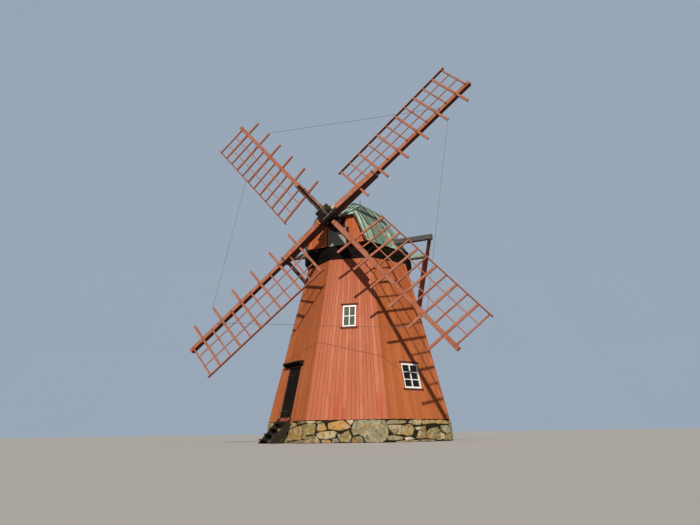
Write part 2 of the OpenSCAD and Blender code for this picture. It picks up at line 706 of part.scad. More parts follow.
// how far a lath runs past the middles of the last bars
hem_lath_over = 110;
inner_lath_over = 50;
mean_turn = (weather_at_tip + weather_at_heel) / 2;
module lath(w, section, over) {
    a = lattice_point(bar_count - 1, w);
    b = lattice_point(0, w);
    d = (b - a) / norm(b - a);
    e = b - a + 2 * over * d;
    translate(a - over * d) rotate([0, 0, atan2(e[1], e[0])])
        rotate([0, -atan2(e[2], norm([e[0], e[1]])), 0]) rotate([-mean_turn, 0, 0])
            translate([0, -section[0] / 2, -section[1] / 2]) cube([norm(e), section[0], section[1]]);
}
// wires from the end of a thick bar's stub to the front of the next whip, clear of the lattice
stay_diameter = 12;
stay_bar = 3;
// distance from the windshaft of a wire's end on the whip
stay_whip_radius = 5400;
stay_foot = [bar_r(stay_bar), -stub_length, stub_length * sin(bar_turn(stay_bar))
    + bar_depth / 2 + stay_diameter / 2 + running_gap];
stay_head = [0, -stay_whip_radius, whip_depth / 2 + stay_diameter / 2 + running_gap];
// an eye bolt carries a wire's end over each whip that lies further back
eye_bolt_diameter = 24;
eye_bolt_foot = running_gap - deep_whip_front;
module sail_stays() color("dimgray") rotor_place() for (a = [0 : 90 : 270]) rotate(a) {
    round_bar(stay_foot, stay_head, stay_diameter);
    if (a % 180 == 90) translate([0, -stay_whip_radius, eye_bolt_foot])
        cylinder(h = stay_head[2] + stay_diameter - eye_bolt_foot, d = eye_bolt_diameter, $fn = 12);
}
module round_bar(a, b, diameter) {
    d = b - a;
    translate(a) rotate([0, 0, atan2(d[1], d[0])]) rotate([0, 90 - atan2(d[2], norm([d[0], d[1]])), 0])
        cylinder(h = norm(d), d = diameter, $fn = 12);
}
module upper_right_sail() sail(0, true);
module upper_left_sail() sail(90, false);
module lower_left_sail() sail(180, true);
module lower_right_sail() sail(270, false);

stone_plinth();
ground_floor();
upper_floor();
front_wall();
front_right_wall();
right_wall();
back_right_wall();
back_wall();
back_left_wall();
left_wall();
door_wall_left();
door_wall_right();
door_wall_over();
door_frame();
hinge_pins();
door_hood();
step_stringers();
step_treads();
window_frames();
window_glass();
window_boards();
skirt();
curb_ring();
cap_frame();
shaft_bearings();
cap_front_wall();
cap_hatch();
cap_rear_wall();
cap_roof();
finial();
long_cross_beam();
short_cross_beam();
tail_pole();
tail_braces();
windshaft();
poll_end();
sail_stocks();
upper_right_sail();
upper_left_sail();
lower_left_sail();
lower_right_sail();
sail_stays();
door_leaf();
door_hinges();
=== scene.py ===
# %% [markdown]
# # A smock windmill, dressed for the camera
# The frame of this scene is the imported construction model: an eight-sided
# boarded tower on a rubble plinth, a turning cap with a copper roof, four
# lattice sails and a door. Its sizes are fixed. This lesson adds what the eye
# looks for: single boards, stones, folded copper, iron straps, and paint that
# has stood in the wind for years. Everything is in metres, with Z up, and the
# origin lies on the tower's axis, at the foot of the plinth.

# %% Start
import math
import random

import bmesh
import bpy
from mathutils import Matrix, Vector, noise
from mathutils.bvhtree import BVHTree


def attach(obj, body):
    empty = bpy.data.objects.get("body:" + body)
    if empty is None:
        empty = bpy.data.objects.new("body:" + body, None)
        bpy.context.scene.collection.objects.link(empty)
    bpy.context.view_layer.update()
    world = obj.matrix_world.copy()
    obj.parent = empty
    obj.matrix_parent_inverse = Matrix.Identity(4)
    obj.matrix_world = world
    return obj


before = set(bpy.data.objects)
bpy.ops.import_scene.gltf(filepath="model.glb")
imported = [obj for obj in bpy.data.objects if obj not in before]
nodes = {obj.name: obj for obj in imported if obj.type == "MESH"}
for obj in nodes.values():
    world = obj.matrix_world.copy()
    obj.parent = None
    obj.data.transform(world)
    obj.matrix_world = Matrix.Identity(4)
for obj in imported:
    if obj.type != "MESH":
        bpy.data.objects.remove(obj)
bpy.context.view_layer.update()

# %% [markdown]
# ## The sizes that the dressing needs
# A scene can't read the construction source, so the few sizes that place the
# boards are repeated here. Each wall leans inwards, and its boards narrow
# towards the top, so a wall gets a frame of its own: x points out of the wall,
# y runs sideways and z climbs the slope.

# %% Sizes and frames of the walls
SIDES = 8
WALL_NAMES = ["front", "front_right", "right", "back_right", "back", "back_left", "left", "door"]
DOOR_WALL = WALL_NAMES.index("door")
HALF_CORNER = math.pi / SIDES
FOOT_RADIUS, TOP_RADIUS = 3.3, 1.89
PLINTH_TOP, TOWER_TOP = 0.69, 6.53
FOOT_FLAT = FOOT_RADIUS * math.cos(HALF_CORNER)
FLAT_SLOPE = (FOOT_RADIUS - TOP_RADIUS) * math.cos(HALF_CORNER) / (TOWER_TOP - PLINTH_TOP)
SLANT = math.atan(FLAT_SLOPE)
WALL_LENGTH = (TOWER_TOP - PLINTH_TOP) / math.cos(SLANT)
FOOT_WIDTH = 2 * FOOT_RADIUS * math.sin(HALF_CORNER)
TOP_WIDTH = 2 * TOP_RADIUS * math.sin(HALF_CORNER)


def wall_angle(i):
    """Heading of a wall's outside, counted from the front wall to the right."""
    return math.radians(-90 + i * 360 / SIDES)


def wall_place(i):
    """Frame of a wall, from the middle of its foot."""
    return (Matrix.Rotation(wall_angle(i), 4, "Z")
            @ Matrix.Translation((FOOT_FLAT, 0, PLINTH_TOP))
            @ Matrix.Rotation(-SLANT, 4, "Y"))


CAP_TURN = math.radians(-13.9 - 90)
CAP_PLACE = Matrix.Rotation(CAP_TURN, 4, "Z")
ROOF_TOP = 8.95
CAP_FRONT = 2.0
SHAFT_TILT = math.radians(8.9)
ROTOR_TURN = math.radians(90 + 41.1)
ROTOR_REACH, ROTOR_HEIGHT = 2.656, 7.561
SHAFT_PLACE = (CAP_PLACE @ Matrix.Translation((ROTOR_REACH, 0, ROTOR_HEIGHT))
               @ Matrix.Rotation(math.pi / 2 - SHAFT_TILT, 4, "Y"))
ROTOR_PLACE = SHAFT_PLACE @ Matrix.Rotation(ROTOR_TURN, 4, "Z")
print("a wall leans", round(math.degrees(SLANT), 2), "degrees and is", round(WALL_LENGTH, 3), "m long")

# %% [markdown]
# ## A small language for materials
# Shader maths reads badly as a list of nodes, so one class wraps a socket and
# answers to + - * /, and another builds nodes by name. A finish is then a few
# lines of sums.

# %% Wire and Finish
class Wire:
    """A socket that can stand in a sum, as a number does."""

    def __init__(self, finish, socket):
        self.finish = finish
        self.socket = socket

    def math(self, operation, other=None, swap=False):
        values = [self] if other is None else ([other, self] if swap else [self, other])
        return self.finish.node("ShaderNodeMath", dict(operation=operation), dict(enumerate(values)))

    def __add__(self, other):
        return self.math("ADD", other)

    def __mul__(self, other):
        return self.math("MULTIPLY", other)

    def __sub__(self, other):
        return self.math("SUBTRACT", other)

    def __rsub__(self, other):
        return self.math("SUBTRACT", other, swap=True)

    def __truediv__(self, other):
        return self.math("DIVIDE", other)


class Finish:
    """One material and the nodes that make it."""

    def __init__(self, name, **constants):
        self.material = bpy.data.materials.new(name)
        self.material.use_nodes = True
        self.tree = self.material.node_tree
        self.tree.nodes.clear()
        self.surface = self.tree.nodes.new("ShaderNodeBsdfPrincipled")
        output = self.tree.nodes.new("ShaderNodeOutputMaterial")
        self.tree.links.new(self.surface.outputs["BSDF"], output.inputs["Surface"])
        for socket, value in constants.items():
            self.surface.inputs[socket.replace("_", " ")].default_value = value

    def node(self, kind, settings, inputs, output=0):
        """Adds a node: its settings first, then values or wires on its sockets."""
        made = self.tree.nodes.new(kind)
        for name, value in settings.items():
            if name == "stops":
                while len(made.color_ramp.elements) < len(value):
                    made.color_ramp.elements.new(0.5)
                for element, (place, colour) in zip(made.color_ramp.elements, value):
                    element.position = place
                    element.color = colour if len(colour) == 4 else (*colour, 1)
            else:
                setattr(made, name, value)
        for name, value in inputs.items():
            if isinstance(value, Wire):
                self.tree.links.new(value.socket, made.inputs[name])
            else:
                made.inputs[name].default_value = value
        return Wire(self, made.outputs[output])

    def place(self, stretch=(1, 1, 1), turn=None):
        """Object coordinates, turned into a piece's own frame and stretched."""
        wire = self.node("ShaderNodeTexCoord", {}, {}, "Object")
        if turn is not None:
            wire = self.node("ShaderNodeMapping", dict(vector_type="TEXTURE"), {
                "Vector": wire, "Location": turn.to_translation(), "Rotation": turn.to_euler()})
        return self.node("ShaderNodeMapping", dict(vector_type="POINT"), {"Vector": wire, "Scale": stretch})

    def grain(self, stretch=(1, 1, 1)):
        """Coordinates of the board map: across and along each board, in metres."""
        wire = self.node("ShaderNodeUVMap", dict(uv_map="board_map"), {})
        return self.node("ShaderNodeMapping", dict(vector_type="POINT"), {"Vector": wire, "Scale": stretch})

    def noise(self, vector, scale, detail=4.0, roughness=0.55, distortion=0.0):
        return self.node("ShaderNodeTexNoise", dict(noise_dimensions="3D"), {
            "Vector": vector, "Scale": scale, "Detail": detail, "Roughness": roughness,
            "Distortion": distortion})

    def part(self, vector, axis):
        return self.node("ShaderNodeSeparateXYZ", {}, {0: vector}, axis)

    def number(self, name):
        return self.node("ShaderNodeAttribute", dict(attribute_name=name), {}, "Fac")

    def colour_of(self, name):
        return self.node("ShaderNodeAttribute", dict(attribute_name=name), {}, "Color")

    def ramp(self, factor, *stops):
        return self.node("ShaderNodeValToRGB", dict(stops=stops), {"Fac": factor})

    def step(self, factor, low, high):
        """0 below low, 1 above high, and smooth between them."""
        return self.node("ShaderNodeMapRange", dict(interpolation_type="SMOOTHSTEP"), {
            "Value": factor, "From Min": low, "From Max": high})

    def mix(self, factor, a, b, blend="MIX"):
        return self.node("ShaderNodeMix", dict(data_type="RGBA", blend_type=blend), {
            0: factor, 6: a if isinstance(a, Wire) else (*a, 1), 7: b if isinstance(b, Wire) else (*b, 1)}, 2)

    def bump(self, height, strength, depth):
        return self.node("ShaderNodeBump", {}, {
            "Height": height, "Strength": strength, "Distance": depth})

    def set(self, **wires):
        for socket, wire in wires.items():
            self.tree.links.new(wire.socket, self.surface.inputs[socket.replace("_", " ")])
        return self.material


def paint(node_names, material):
    """Gives construction nodes their finish."""
    for name in node_names:
        nodes[name].data.materials.clear()
        nodes[name].data.materials.append(material)


print("the material language is ready")

# %% [markdown]
# ## Red ochre paint on boards
# The mill is painted with red ochre, which has no gloss and fades to pink
# where sun and rain reach it. Each board carries a number, its tone, and a
# map that runs along it, so the grain follows the board however it leans.
# A streak is noise that is stretched along the board.

# %% Paint of the boards
RED = (0.40, 0.108, 0.032)
FADED = (0.55, 0.20, 0.085)
DEEP = (0.20, 0.032, 0.012)
PALE_RED, PALE_FADED, PALE_DEEP = (0.45, 0.135, 0.068), (0.58, 0.235, 0.140), (0.30, 0.060, 0.028)
FRESH = (0.42, 0.050, 0.022)
# the cap's boards are brighter than the tower's, which also makes up there for the painted shade that darkens
# boards towards the top
CAP_BRIGHTNESS = 1.28


def board_paint(name, red, faded, deep, fade=0.45, fresh=None, gloss=0.2):
    """Paint on sawn boards: streaks along each one, and a shade of its own."""
    f = Finish(name, Specular_IOR_Level=gloss)
    tone = f.number("tone")
    streak = f.noise(f.grain((26, 1.3, 1)), 1.0, 5, 0.6)
    cloud = f.noise(f.place((0.7, 0.7, 0.45)), 1.0, 3, 0.5)
    grain = f.noise(f.grain((190, 6, 1)), 1.0, 3, 0.6)
    worn = f.step(streak * 0.6 + cloud * 0.5 + tone * 0.16, 0.52, 0.86)
    colour = f.mix(worn * fade, red, faded)
    dark = f.step(f.noise(f.grain((40, 2.2, 1)), 1.3, 3, 0.5) + tone * 0.1, 0.56, 0.78)
    colour = f.mix(dark * 0.35, colour, deep)
    # the boards are painted darker towards the top, as painted shade
    height = f.part(f.place(), 2)
    colour = f.mix(f.step(height, 1.5, 6.5) * 0.16, colour, deep)
    own_shade = f.ramp(tone, (0.0, (0.88, 0.86, 0.85)), (1.0, (1.05, 1.04, 1.04)))
    colour = f.mix(1.0, colour, own_shade, "MULTIPLY")
    if fresh:
        # near the foot some boards have been painted anew
        low = 1 - f.step(height, 0.95, 2.1)
        spot = f.step(f.noise(f.grain((3, 0.35, 1)), 1.0, 2, 0.5) + tone * 0.22, 0.66, 0.70)
        colour = f.mix(low * spot * 0.6, colour, fresh)
    return f.set(Base_Color=colour, Roughness=0.94 - grain * 0.16,
                 Normal=f.bump(grain * 0.6 + streak * 0.4, 0.35, 0.004))


red_paint = board_paint("red_ochre_boards", RED, FADED, DEEP)
# the front wall, which faces the sun, gets a paler copy of the paint: partly faded paint, partly painted
# light
pale_paint = board_paint("faded_and_painted_lit_boards", PALE_RED, PALE_FADED, PALE_DEEP, 0.55, FRESH)
cap_paint = board_paint("cap_ochre_boards", *(tuple(c * CAP_BRIGHTNESS for c in shade)
                                              for shade in (RED, FADED, DEEP)))
print("paints:", red_paint.name, pale_paint.name, cap_paint.name)

# %% [markdown]
# ## One board, and many
# A board starts as a cube from bmesh, is stretched to its size, and gets a
# map and a tone while it is still simple. The edges of all boards are bevelled
# together at the end, which keeps the call count low. Boards that meet a door
# or a window are cut with bisect_plane, as a saw would cut them.

# %% Boards
dice = random.Random(11)


class Boards:
    """Collects boards in one bmesh and makes a piece of them."""

    def __init__(self):
        self.bm = bmesh.new()
        self.map = self.bm.loops.layers.uv.new("board_map")
        self.tone = self.bm.faces.layers.float.new("tone")

    def add(self, place, low, high, tone=None, along=2, taper=None, cuts=()):
        """One board between two corners of place's frame; its grain runs along one axis."""
        bm = self.bm
        made = bmesh.ops.create_cube(bm, size=1)["verts"]
        size = [b - a for a, b in zip(low, high)]
        middle = [(a + b) / 2 for a, b in zip(low, high)]
        bmesh.ops.scale(bm, vec=size, verts=made)
        bmesh.ops.translate(bm, vec=middle, verts=made)
        if taper:
            for v in made:
                v.co.y = taper(v.co)
        faces = {f for v in made for f in v.link_faces}
        across = [a for a in range(3) if a != along]
        shift = dice.random() * 9
        level = dice.random() if tone is None else tone
        for f in faces:
            f[self.tone] = level
            for loop in f.loops:
                co = loop.vert.co
                loop[self.map].uv = (co[across[0]] + co[across[1]] + shift, co[along] + shift)
        geom = list(made) + list({e for v in made for e in v.link_edges}) + list(faces)
        for point, normal in cuts:
            result = bmesh.ops.bisect_plane(bm, geom=geom, dist=1e-6, plane_co=point,
                                            plane_no=normal, clear_outer=True)
            geom = [g for g in result["geom"] if g.is_valid]
            rim = [g for g in result["geom_cut"] if isinstance(g, bmesh.types.BMEdge)]
            if rim:
                new = bmesh.ops.edgeloop_fill(bm, edges=rim)["faces"]
                for f in new:
                    f[self.tone] = level
                    for loop in f.loops:
                        co = loop.vert.co
                        loop[self.map].uv = (co[across[0]] + shift, co[across[1]] + shift)
                geom += new
            if not geom:
                return
        verts = list({v for g in geom if isinstance(g, bmesh.types.BMFace) for v in g.verts})
        bmesh.ops.transform(bm, matrix=place, verts=verts)

    def finish(self, name, material, body, slot, edge=0.003):
        """Bevels the boards' edges and makes the piece."""
        if edge:
            bmesh.ops.bevel(self.bm, geom=self.bm.edges[:], offset=edge, affect="EDGES",
                            segments=1, profile=0.5, material=-1, clamp_overlap=True)
        add_piece(name, self.bm, material, body, slot)


def add_piece(name, bm, material, body, slot, smooth=False):
    """Makes an object of a bmesh, gives it a finish and lets it ride on a body."""
    mesh = bpy.data.meshes.new(name)
    bm.to_mesh(mesh)
    bm.free()
    if smooth:
        mesh.shade_smooth()
    mesh.materials.append(material)
    piece = bpy.data.objects.new(name, mesh)
    bpy.context.scene.collection.objects.link(piece)
    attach(piece, body)
    mesh.calc_loop_triangles()
    print("made", name, "with", len(mesh.loop_triangles), "triangles")


def add_turned_out(name, bm, *rest, **more):
    """A piece whose faces are first turned outwards, as sweeps and rods need."""
    bmesh.ops.recalc_face_normals(bm, faces=bm.faces[:])
    add_piece(name, bm, *rest, **more)


print("boards can be sawn")

# %% [markdown]
# ## The cladding of the tower
# Eighteen boards stand side by side on each wall. They narrow together
# towards the top, so the outer ones lean with the corners, and the corner
# boards are mitred. They lie a finger's breadth proud of the construction
# wall, which shows as the dark joint between them.

# %% Cladding
BOARD_COUNT = 18
BOARD_PROUD = 0.016
BOARD_GAP = 0.006
SHORTEST_BOARD = 0.02
# y from, y to, z from, z to of the openings, with the boards round them
FRONT_WINDOW = (-0.24, 0.24, 3.05, 3.83)
SIDE_WINDOW = (-0.36, 0.36, 0.97, 1.80)
DOORWAY = (-0.54, 0.26, -0.1, 1.82)
OPENINGS = {0: FRONT_WINDOW, 4: FRONT_WINDOW, 1: SIDE_WINDOW, 5: SIDE_WINDOW, DOOR_WALL: DOORWAY}


def width_at(z):
    """Width of a wall at a distance up its slope."""
    return FOOT_WIDTH + (TOP_WIDTH - FOOT_WIDTH) * z / WALL_LENGTH


def board_edges(count):
    """Shares of the wall's width where boards meet, a little uneven."""
    widths = [1 + 0.16 * (dice.random() - 0.5) for _ in range(count)]
    edges = [0.0]
    for w in widths:
        edges.append(edges[-1] + w / sum(widths))
    return edges


def clad(wall, boards):
    """Boards of one wall, from the plinth to the top and round its opening."""
    opening = OPENINGS.get(wall)
    shares = board_edges(BOARD_COUNT)
    for left, right in zip(shares, shares[1:]):
        def side(co, left=left, right=right):
            share = left if co.y < 0 else right
            y = (share - 0.5) * width_at(co.z)
            if share in (0.0, shares[-1]):
                return y + math.copysign(co.x * math.tan(HALF_CORNER), y)
            return y + (BOARD_GAP / 2 if share == left else -BOARD_GAP / 2)
        foot = -0.004 - 0.014 * dice.random()
        proud = BOARD_PROUD + 0.004 * (dice.random() - 0.5)
        tone = dice.random()
        spans = [(foot, WALL_LENGTH, ())]
        if opening:
            y0, y1, z0, z1 = opening
            mid = (z0 + z1) / 2
            b0, b1 = (left - 0.5) * width_at(mid), (right - 0.5) * width_at(mid)
            if b1 > y0 - 0.03 and b0 < y1 + 0.03:
                spans = [(foot, z0, ()), (z1, WALL_LENGTH, ()),
                         (z0, z1, (((0, y0, 0), (0, 1, 0)),)), (z0, z1, (((0, y1, 0), (0, -1, 0)),))]
        for low, high, cuts in spans:
            if high - low > SHORTEST_BOARD:
                boards.add(wall_place(wall), (-0.003, -1, low), (proud, 1, high), tone=tone,
                           taper=side, cuts=cuts)


for number, label in enumerate(WALL_NAMES):
    boards = Boards()
    clad(number, boards)
    boards.finish(label + "_wall_boards", red_paint if number else pale_paint, "tower", "red_boards",
                  edge=0.0022)

# %% [markdown]
# ## Wood that isn't new
# The sails, beams, steps and hidden timbers keep their construction shape,
# which has no map, so their grain is read from Object coordinates. A Mapping
# node turns those into the frame of the rotor or the cap first, because grain
# has to run along a timber and not along the world. In a sail the whip and the
# bars cross, so near each bar the grain turns.

# %% Timber
SAIL_BARS, SAIL_BAR_START, SAIL_BAR_SPACING = 12, 6.647, 0.47


def timber(name, colour, pale, dark, turn=None, along=(1, 1, 1), cross=None, wear=0.5, rough=0.85,
           side=None, hem=None, gloss=0.2):
    """Weathered wood: along and cross stretch its grain, side and hem place painted shade on side faces."""
    f = Finish(name, Specular_IOR_Level=gloss)
    place = f.place((1, 1, 1), turn)
    stretched = f.node("ShaderNodeVectorMath", dict(operation="MULTIPLY"), {0: place, 1: along})
    if cross is not None:
        other = f.node("ShaderNodeVectorMath", dict(operation="MULTIPLY"), {0: place, 1: cross})
        x = f.part(place, 0)
        beat = ((x - SAIL_BAR_START) / SAIL_BAR_SPACING).math("FRACT")
        near = f.step((beat - 0.5).math("ABSOLUTE"), 0.36, 0.42)
        stretched = f.node("ShaderNodeMix", dict(data_type="VECTOR"), {0: near, 4: stretched, 5: other}, 1)
    streak = f.noise(stretched, 1.0, 5, 0.62)
    cloud = f.noise(place, 1.6, 3, 0.5)
    fine = f.noise(stretched, 4.2, 3, 0.6)
    worn = f.step(streak * 0.62 + cloud * 0.5, 0.46, 0.72)
    colour = f.mix(worn * wear, colour, pale)
    stain = f.step(fine * 0.5 + cloud * 0.5, 0.52, 0.68)
    colour = f.mix(stain * 0.45, colour, dark)
    if side:
        # painted shade on the sides of a beam: the distance from its middle line tells them
        off = [f.part(place, axis).math("ABSOLUTE") for axis in (0, 1)]
        off = off[1] if cross is not None else off[0].math("MINIMUM", off[1])
        colour = f.mix(f.step(off, side - 0.002, side) * (1 - f.step(off, side + 0.01, side + 0.012)) * 0.8,
                       colour, dark)
    if hem:
        # painted shade on the inner side of the outer lath too: its plane gives the distance
        off = f.node("ShaderNodeVectorMath", dict(operation="DOT_PRODUCT"), {0: place, 1: hem[0]}, 1) - hem[1]
        colour = f.mix((1 - f.step(off.math("ABSOLUTE"), 0.003, 0.005)) * 0.85, colour, dark)
    return f.set(Base_Color=colour, Roughness=(fine * -0.18) + (rough + 0.08),
                 Normal=f.bump(streak * 0.5 + fine * 0.5, 0.5, 0.004))


ALONG_X, ALONG_Y, ALONG_Z = (2.2, 38, 38), (38, 2.2, 38), (38, 38, 2.2)
print("timber has its grain")

# %% [markdown]
# ## The sails and their stocks
# The fronts of the sails are bleached, and their sides are painted dark as
# painted shade. The sides are faces of the same mesh, so the material finds
# them by their distance from the whip's middle line and from the plane of the
# outer lath.

# %% Sails
SAIL_RED, SAIL_PALE, SAIL_DARK = (0.33, 0.094, 0.046), (0.44, 0.225, 0.155), (0.06, 0.020, 0.012)
HEM_PLACE, HEM_HALF, HEM_TURNS = 1.336, 0.016, (math.radians(3.4), math.radians(9.9))


def hem_side():
    """Normal and distance of the plane of the outer lath's inner side, in a sail's frame."""
    tip, heel = (Vector((SAIL_BAR_START - k * SAIL_BAR_SPACING, HEM_PLACE * math.cos(turn),
                         -HEM_PLACE * math.sin(turn))) for k, turn in zip((0, SAIL_BARS - 1), HEM_TURNS))
    along = (tip - heel).normalized()
    deep = along.cross(Matrix.Rotation(-sum(HEM_TURNS) / 2, 3, "X") @ Vector((0, 1, 0))).normalized()
    across = deep.cross(along)
    return across, across.dot(heel) - HEM_HALF


for turn, label in ((0, "upper_right"), (90, "upper_left"), (180, "lower_left"), (270, "lower_right")):
    sail_frame = ROTOR_PLACE @ Matrix.Rotation(math.radians(turn), 4, "Z")
    paint([label + "_sail"], timber("worn_red_" + label, SAIL_RED, SAIL_PALE, SAIL_DARK, sail_frame,
                                    ALONG_X, ALONG_Y, 0.75, side=0.067, hem=hem_side()))
paint(["sail_stocks"], timber("worn_red_stocks", SAIL_RED, SAIL_PALE, SAIL_DARK, ROTOR_PLACE,
                              (9, 9, 38), None, 0.7, side=0.098))
print("four sails and two stocks are red")

# %% [markdown]
# ## Poll, beams, floors and tarred wood
# The poll is tarred oak, the cross beams are bare oak gone grey, the tail is
# dark red, and what turns or carries the cap is greased. Skirt, door, hood and
# steps are tarred, and feet have worn the steps a little paler.

# %% Beams and tarred wood
TAR, TAR_WORN, TAR_DEEP = (0.009, 0.007, 0.006), (0.024, 0.018, 0.015), (0.004, 0.003, 0.003)


def poll_oak():
    """Tarred oak, with a painted pool of olive light on its upper corner."""
    f = Finish("tarred_oak", Specular_IOR_Level=0.12)
    place = f.place((1, 1, 1), ROTOR_PLACE)
    streak = f.noise(f.place((9, 9, 5), ROTOR_PLACE), 1.0, 5, 0.62)
    spots = f.noise(place, 14.0, 4, 0.6)
    upper = f.step(f.part(place, 0) + f.part(place, 1), 0.06, 0.34)
    bare = f.step(streak * 0.6 + spots * 0.4, 0.42, 0.60)
    colour = f.mix(bare, (0.005, 0.004, 0.003), (0.020, 0.013, 0.008))
    # painted light: the upper corner is painted as a lit olive patch
    painted_light_patch = upper * f.step(spots * 0.5 + streak * 0.5, 0.38, 0.54)
    colour = f.mix(painted_light_patch, colour, (0.100, 0.076, 0.034))
    return f.set(Base_Color=colour, Roughness=streak * -0.2 + 0.95,
                 Normal=f.bump(streak * 0.5 + spots * 0.5, 0.6, 0.006))


paint(["poll_end", "windshaft"], poll_oak())
paint(["long_cross_beam", "short_cross_beam"],
      timber("grey_oak", (0.075, 0.071, 0.066), (0.15, 0.145, 0.135), (0.025, 0.022, 0.02), CAP_PLACE,
             ALONG_Y, None, 0.6, 0.9))
paint(["tail_pole", "tail_braces"], timber("dark_red_timber", (0.17, 0.035, 0.025), (0.26, 0.08, 0.05),
                                           (0.05, 0.012, 0.01), CAP_PLACE, (24, 24, 2.4), None, 0.6))
paint(["ground_floor", "upper_floor"],
      timber("bare_pine", (0.36, 0.25, 0.13), (0.47, 0.35, 0.21), (0.2, 0.13, 0.07), CAP_PLACE, ALONG_X))
paint(["curb_ring", "cap_frame", "shaft_bearings"],
      timber("greased_pine", (0.040, 0.024, 0.013), (0.085, 0.055, 0.030), (0.012, 0.008, 0.005),
             CAP_PLACE, ALONG_X))
paint(["skirt", "door_hood", "door_leaf"],
      timber("tarred_boards", TAR, TAR_WORN, TAR_DEEP, None, (22, 22, 2.5), None, 0.6, 0.8, gloss=0.06))
paint(["step_stringers", "step_treads"],
      timber("worn_steps", (0.022, 0.019, 0.014), (0.050, 0.042, 0.031), (0.009, 0.008, 0.006),
             None, (22, 22, 2.5), None, 0.6, 0.8, gloss=0.06))
paint(["cap_hatch"], timber("grey_hatch", (0.23, 0.26, 0.235), (0.42, 0.45, 0.40), (0.1, 0.11, 0.1),
                            CAP_PLACE, ALONG_Z, None, 0.6, 0.8))
# painted shade: the boards over and under the windows get a much darker red than the side boards
paint(["window_boards"],
      timber("shaded_trim", (0.085, 0.020, 0.012), (0.14, 0.038, 0.024), (0.035, 0.009, 0.006),
             None, (20, 20, 5), None, 0.5))
print("beams, floors, steps and tarred wood are on")

# %% [markdown]
# ## The door frame and the walls behind the boards
# The door frame is one construction node with two paints, so its material
# changes at the height of the threshold. The walls behind the cladding show
# only in the joints, where they are dark red in deep shade.

# %% Frame and walls
THRESHOLD_TOP = 0.80


def frame_paint():
    """The jambs are tarred like the leaf, and the threshold under them is red."""
    f = Finish("door_frame_paint", Specular_IOR_Level=0.2)
    high = f.step(f.part(f.place(), 2), THRESHOLD_TOP - 0.005, THRESHOLD_TOP)
    worn = f.step(f.noise(f.place((16, 16, 4)), 1.0, 4, 0.6), 0.42, 0.66)
    red = f.mix(worn, (0.26, 0.055, 0.030), (0.36, 0.13, 0.075))
    tar = f.mix(worn, TAR, TAR_WORN)
    return f.set(Base_Color=f.mix(high, red, tar), Roughness=0.95 - worn * 0.15,
                 Normal=f.bump(worn, 0.4, 0.003))


paint(["door_frame"], frame_paint())
WALL_NODES = [name + "_wall" for name in WALL_NAMES[:DOOR_WALL]]
WALL_NODES += ["door_wall_left", "door_wall_right", "door_wall_over", "cap_front_wall", "cap_rear_wall"]
paint(WALL_NODES, timber("boards_in_shade", (0.035, 0.009, 0.005), (0.06, 0.015, 0.009),
                         (0.015, 0.004, 0.003), None, (20, 20, 2), None, 0.4, 0.95))
print(len(WALL_NODES), "walls behind the boards are dark")

# %% [markdown]
# ## Verdigris copper
# Copper that has hung in sea air turns pale green, unevenly, with brown where
# water stands and paler streaks where it runs off. Each sheet of the roof has
# weathered a little differently, so the distance along the ridge is cut into
# sheets and each sheet draws its own random number.

# %% Copper
SHEET_WIDTH = 0.42
SHEET_LEAN = 0.29
# height that the half hips would reach over the tower's axis, and their fall
HIP_RISE, HIP_FALL = 9.167, 0.625


def verdigris(name):
    """Green copper that changes from sheet to sheet, with brown stains and pale runs."""
    f = Finish(name, Metallic=0.0, Specular_IOR_Level=0.35)
    place = f.place((1, 1, 1), CAP_PLACE)
    u, v, z = (f.part(place, axis) for axis in range(3))
    lean = u.math("ABSOLUTE") - v.math("ABSOLUTE") * SHEET_LEAN
    sheet = ((lean + 10) / SHEET_WIDTH).math("FLOOR") + v.math("SIGN") * 31 + u.math("SIGN") * 7
    own = f.node("ShaderNodeTexWhiteNoise", dict(noise_dimensions="1D"), {"W": sheet}, "Value")
    cloud = f.noise(place, 2.1, 5, 0.6)
    spots = f.noise(place, 14.0, 4, 0.65)
    run = f.noise(f.place((7, 2.2, 1.1), CAP_PLACE), 1.0, 4, 0.6)
    green = f.step(cloud * 0.6 + own * 0.4, 0.32, 0.60)
    colour = f.mix(green, (0.125, 0.225, 0.175), (0.28, 0.40, 0.31))
    colour = f.mix(f.step(run * 0.6 + own * 0.25, 0.45, 0.64) * 0.75, colour, (0.46, 0.55, 0.44))
    brown = f.step(spots * 0.55 + cloud * 0.45, 0.49, 0.60)
    colour = f.mix(brown * 0.75, colour, (0.16, 0.125, 0.085))
    stain = f.noise(place, 6.5, 4, 0.7, 0.4)
    colour = f.mix(f.step(stain, 0.52, 0.62) * 0.45, colour, (0.25, 0.20, 0.145))
    # the half hips are washed pale, and the lower front edges are painted pale as painted light
    hip = f.step(z + u.math("ABSOLUTE") * HIP_FALL, HIP_RISE - 0.05, HIP_RISE)
    edge = f.step(u, 1.95, 2.10)
    hip_wash_and_edge_light = (hip * (run * 0.6 + 0.45)).math("MAXIMUM", edge * 0.6)
    colour = f.mix(hip_wash_and_edge_light, colour, (0.40, 0.56, 0.47))
    specks = f.noise(place, 30.0, 3, 0.7)
    colour = f.mix(f.step(specks, 0.56, 0.66) * 0.5, colour, (0.40, 0.37, 0.29))
    return f.set(Base_Color=colour, Roughness=spots * 0.3 + 0.55,
                 Normal=f.bump(cloud * 0.7 + spots * 0.3, 0.5, 0.02))


def folded_copper(name, low, high):
    """Copper of the folds: darker on the seams, partly as painted shade, and paler on the verge strips,
    partly as painted light.
    """
    f = Finish(name, Specular_IOR_Level=0.35)
    cloud = f.noise(f.place(), 6.0, 4, 0.6)
    spots = f.noise(f.place(), 40.0, 4, 0.65)
    return f.set(Base_Color=f.mix(f.step(cloud * 0.5 + spots * 0.5, 0.42, 0.60), low, high),
                 Roughness=spots * 0.3 + 0.5, Normal=f.bump(spots, 0.4, 0.006))


copper = verdigris("verdigris_copper")
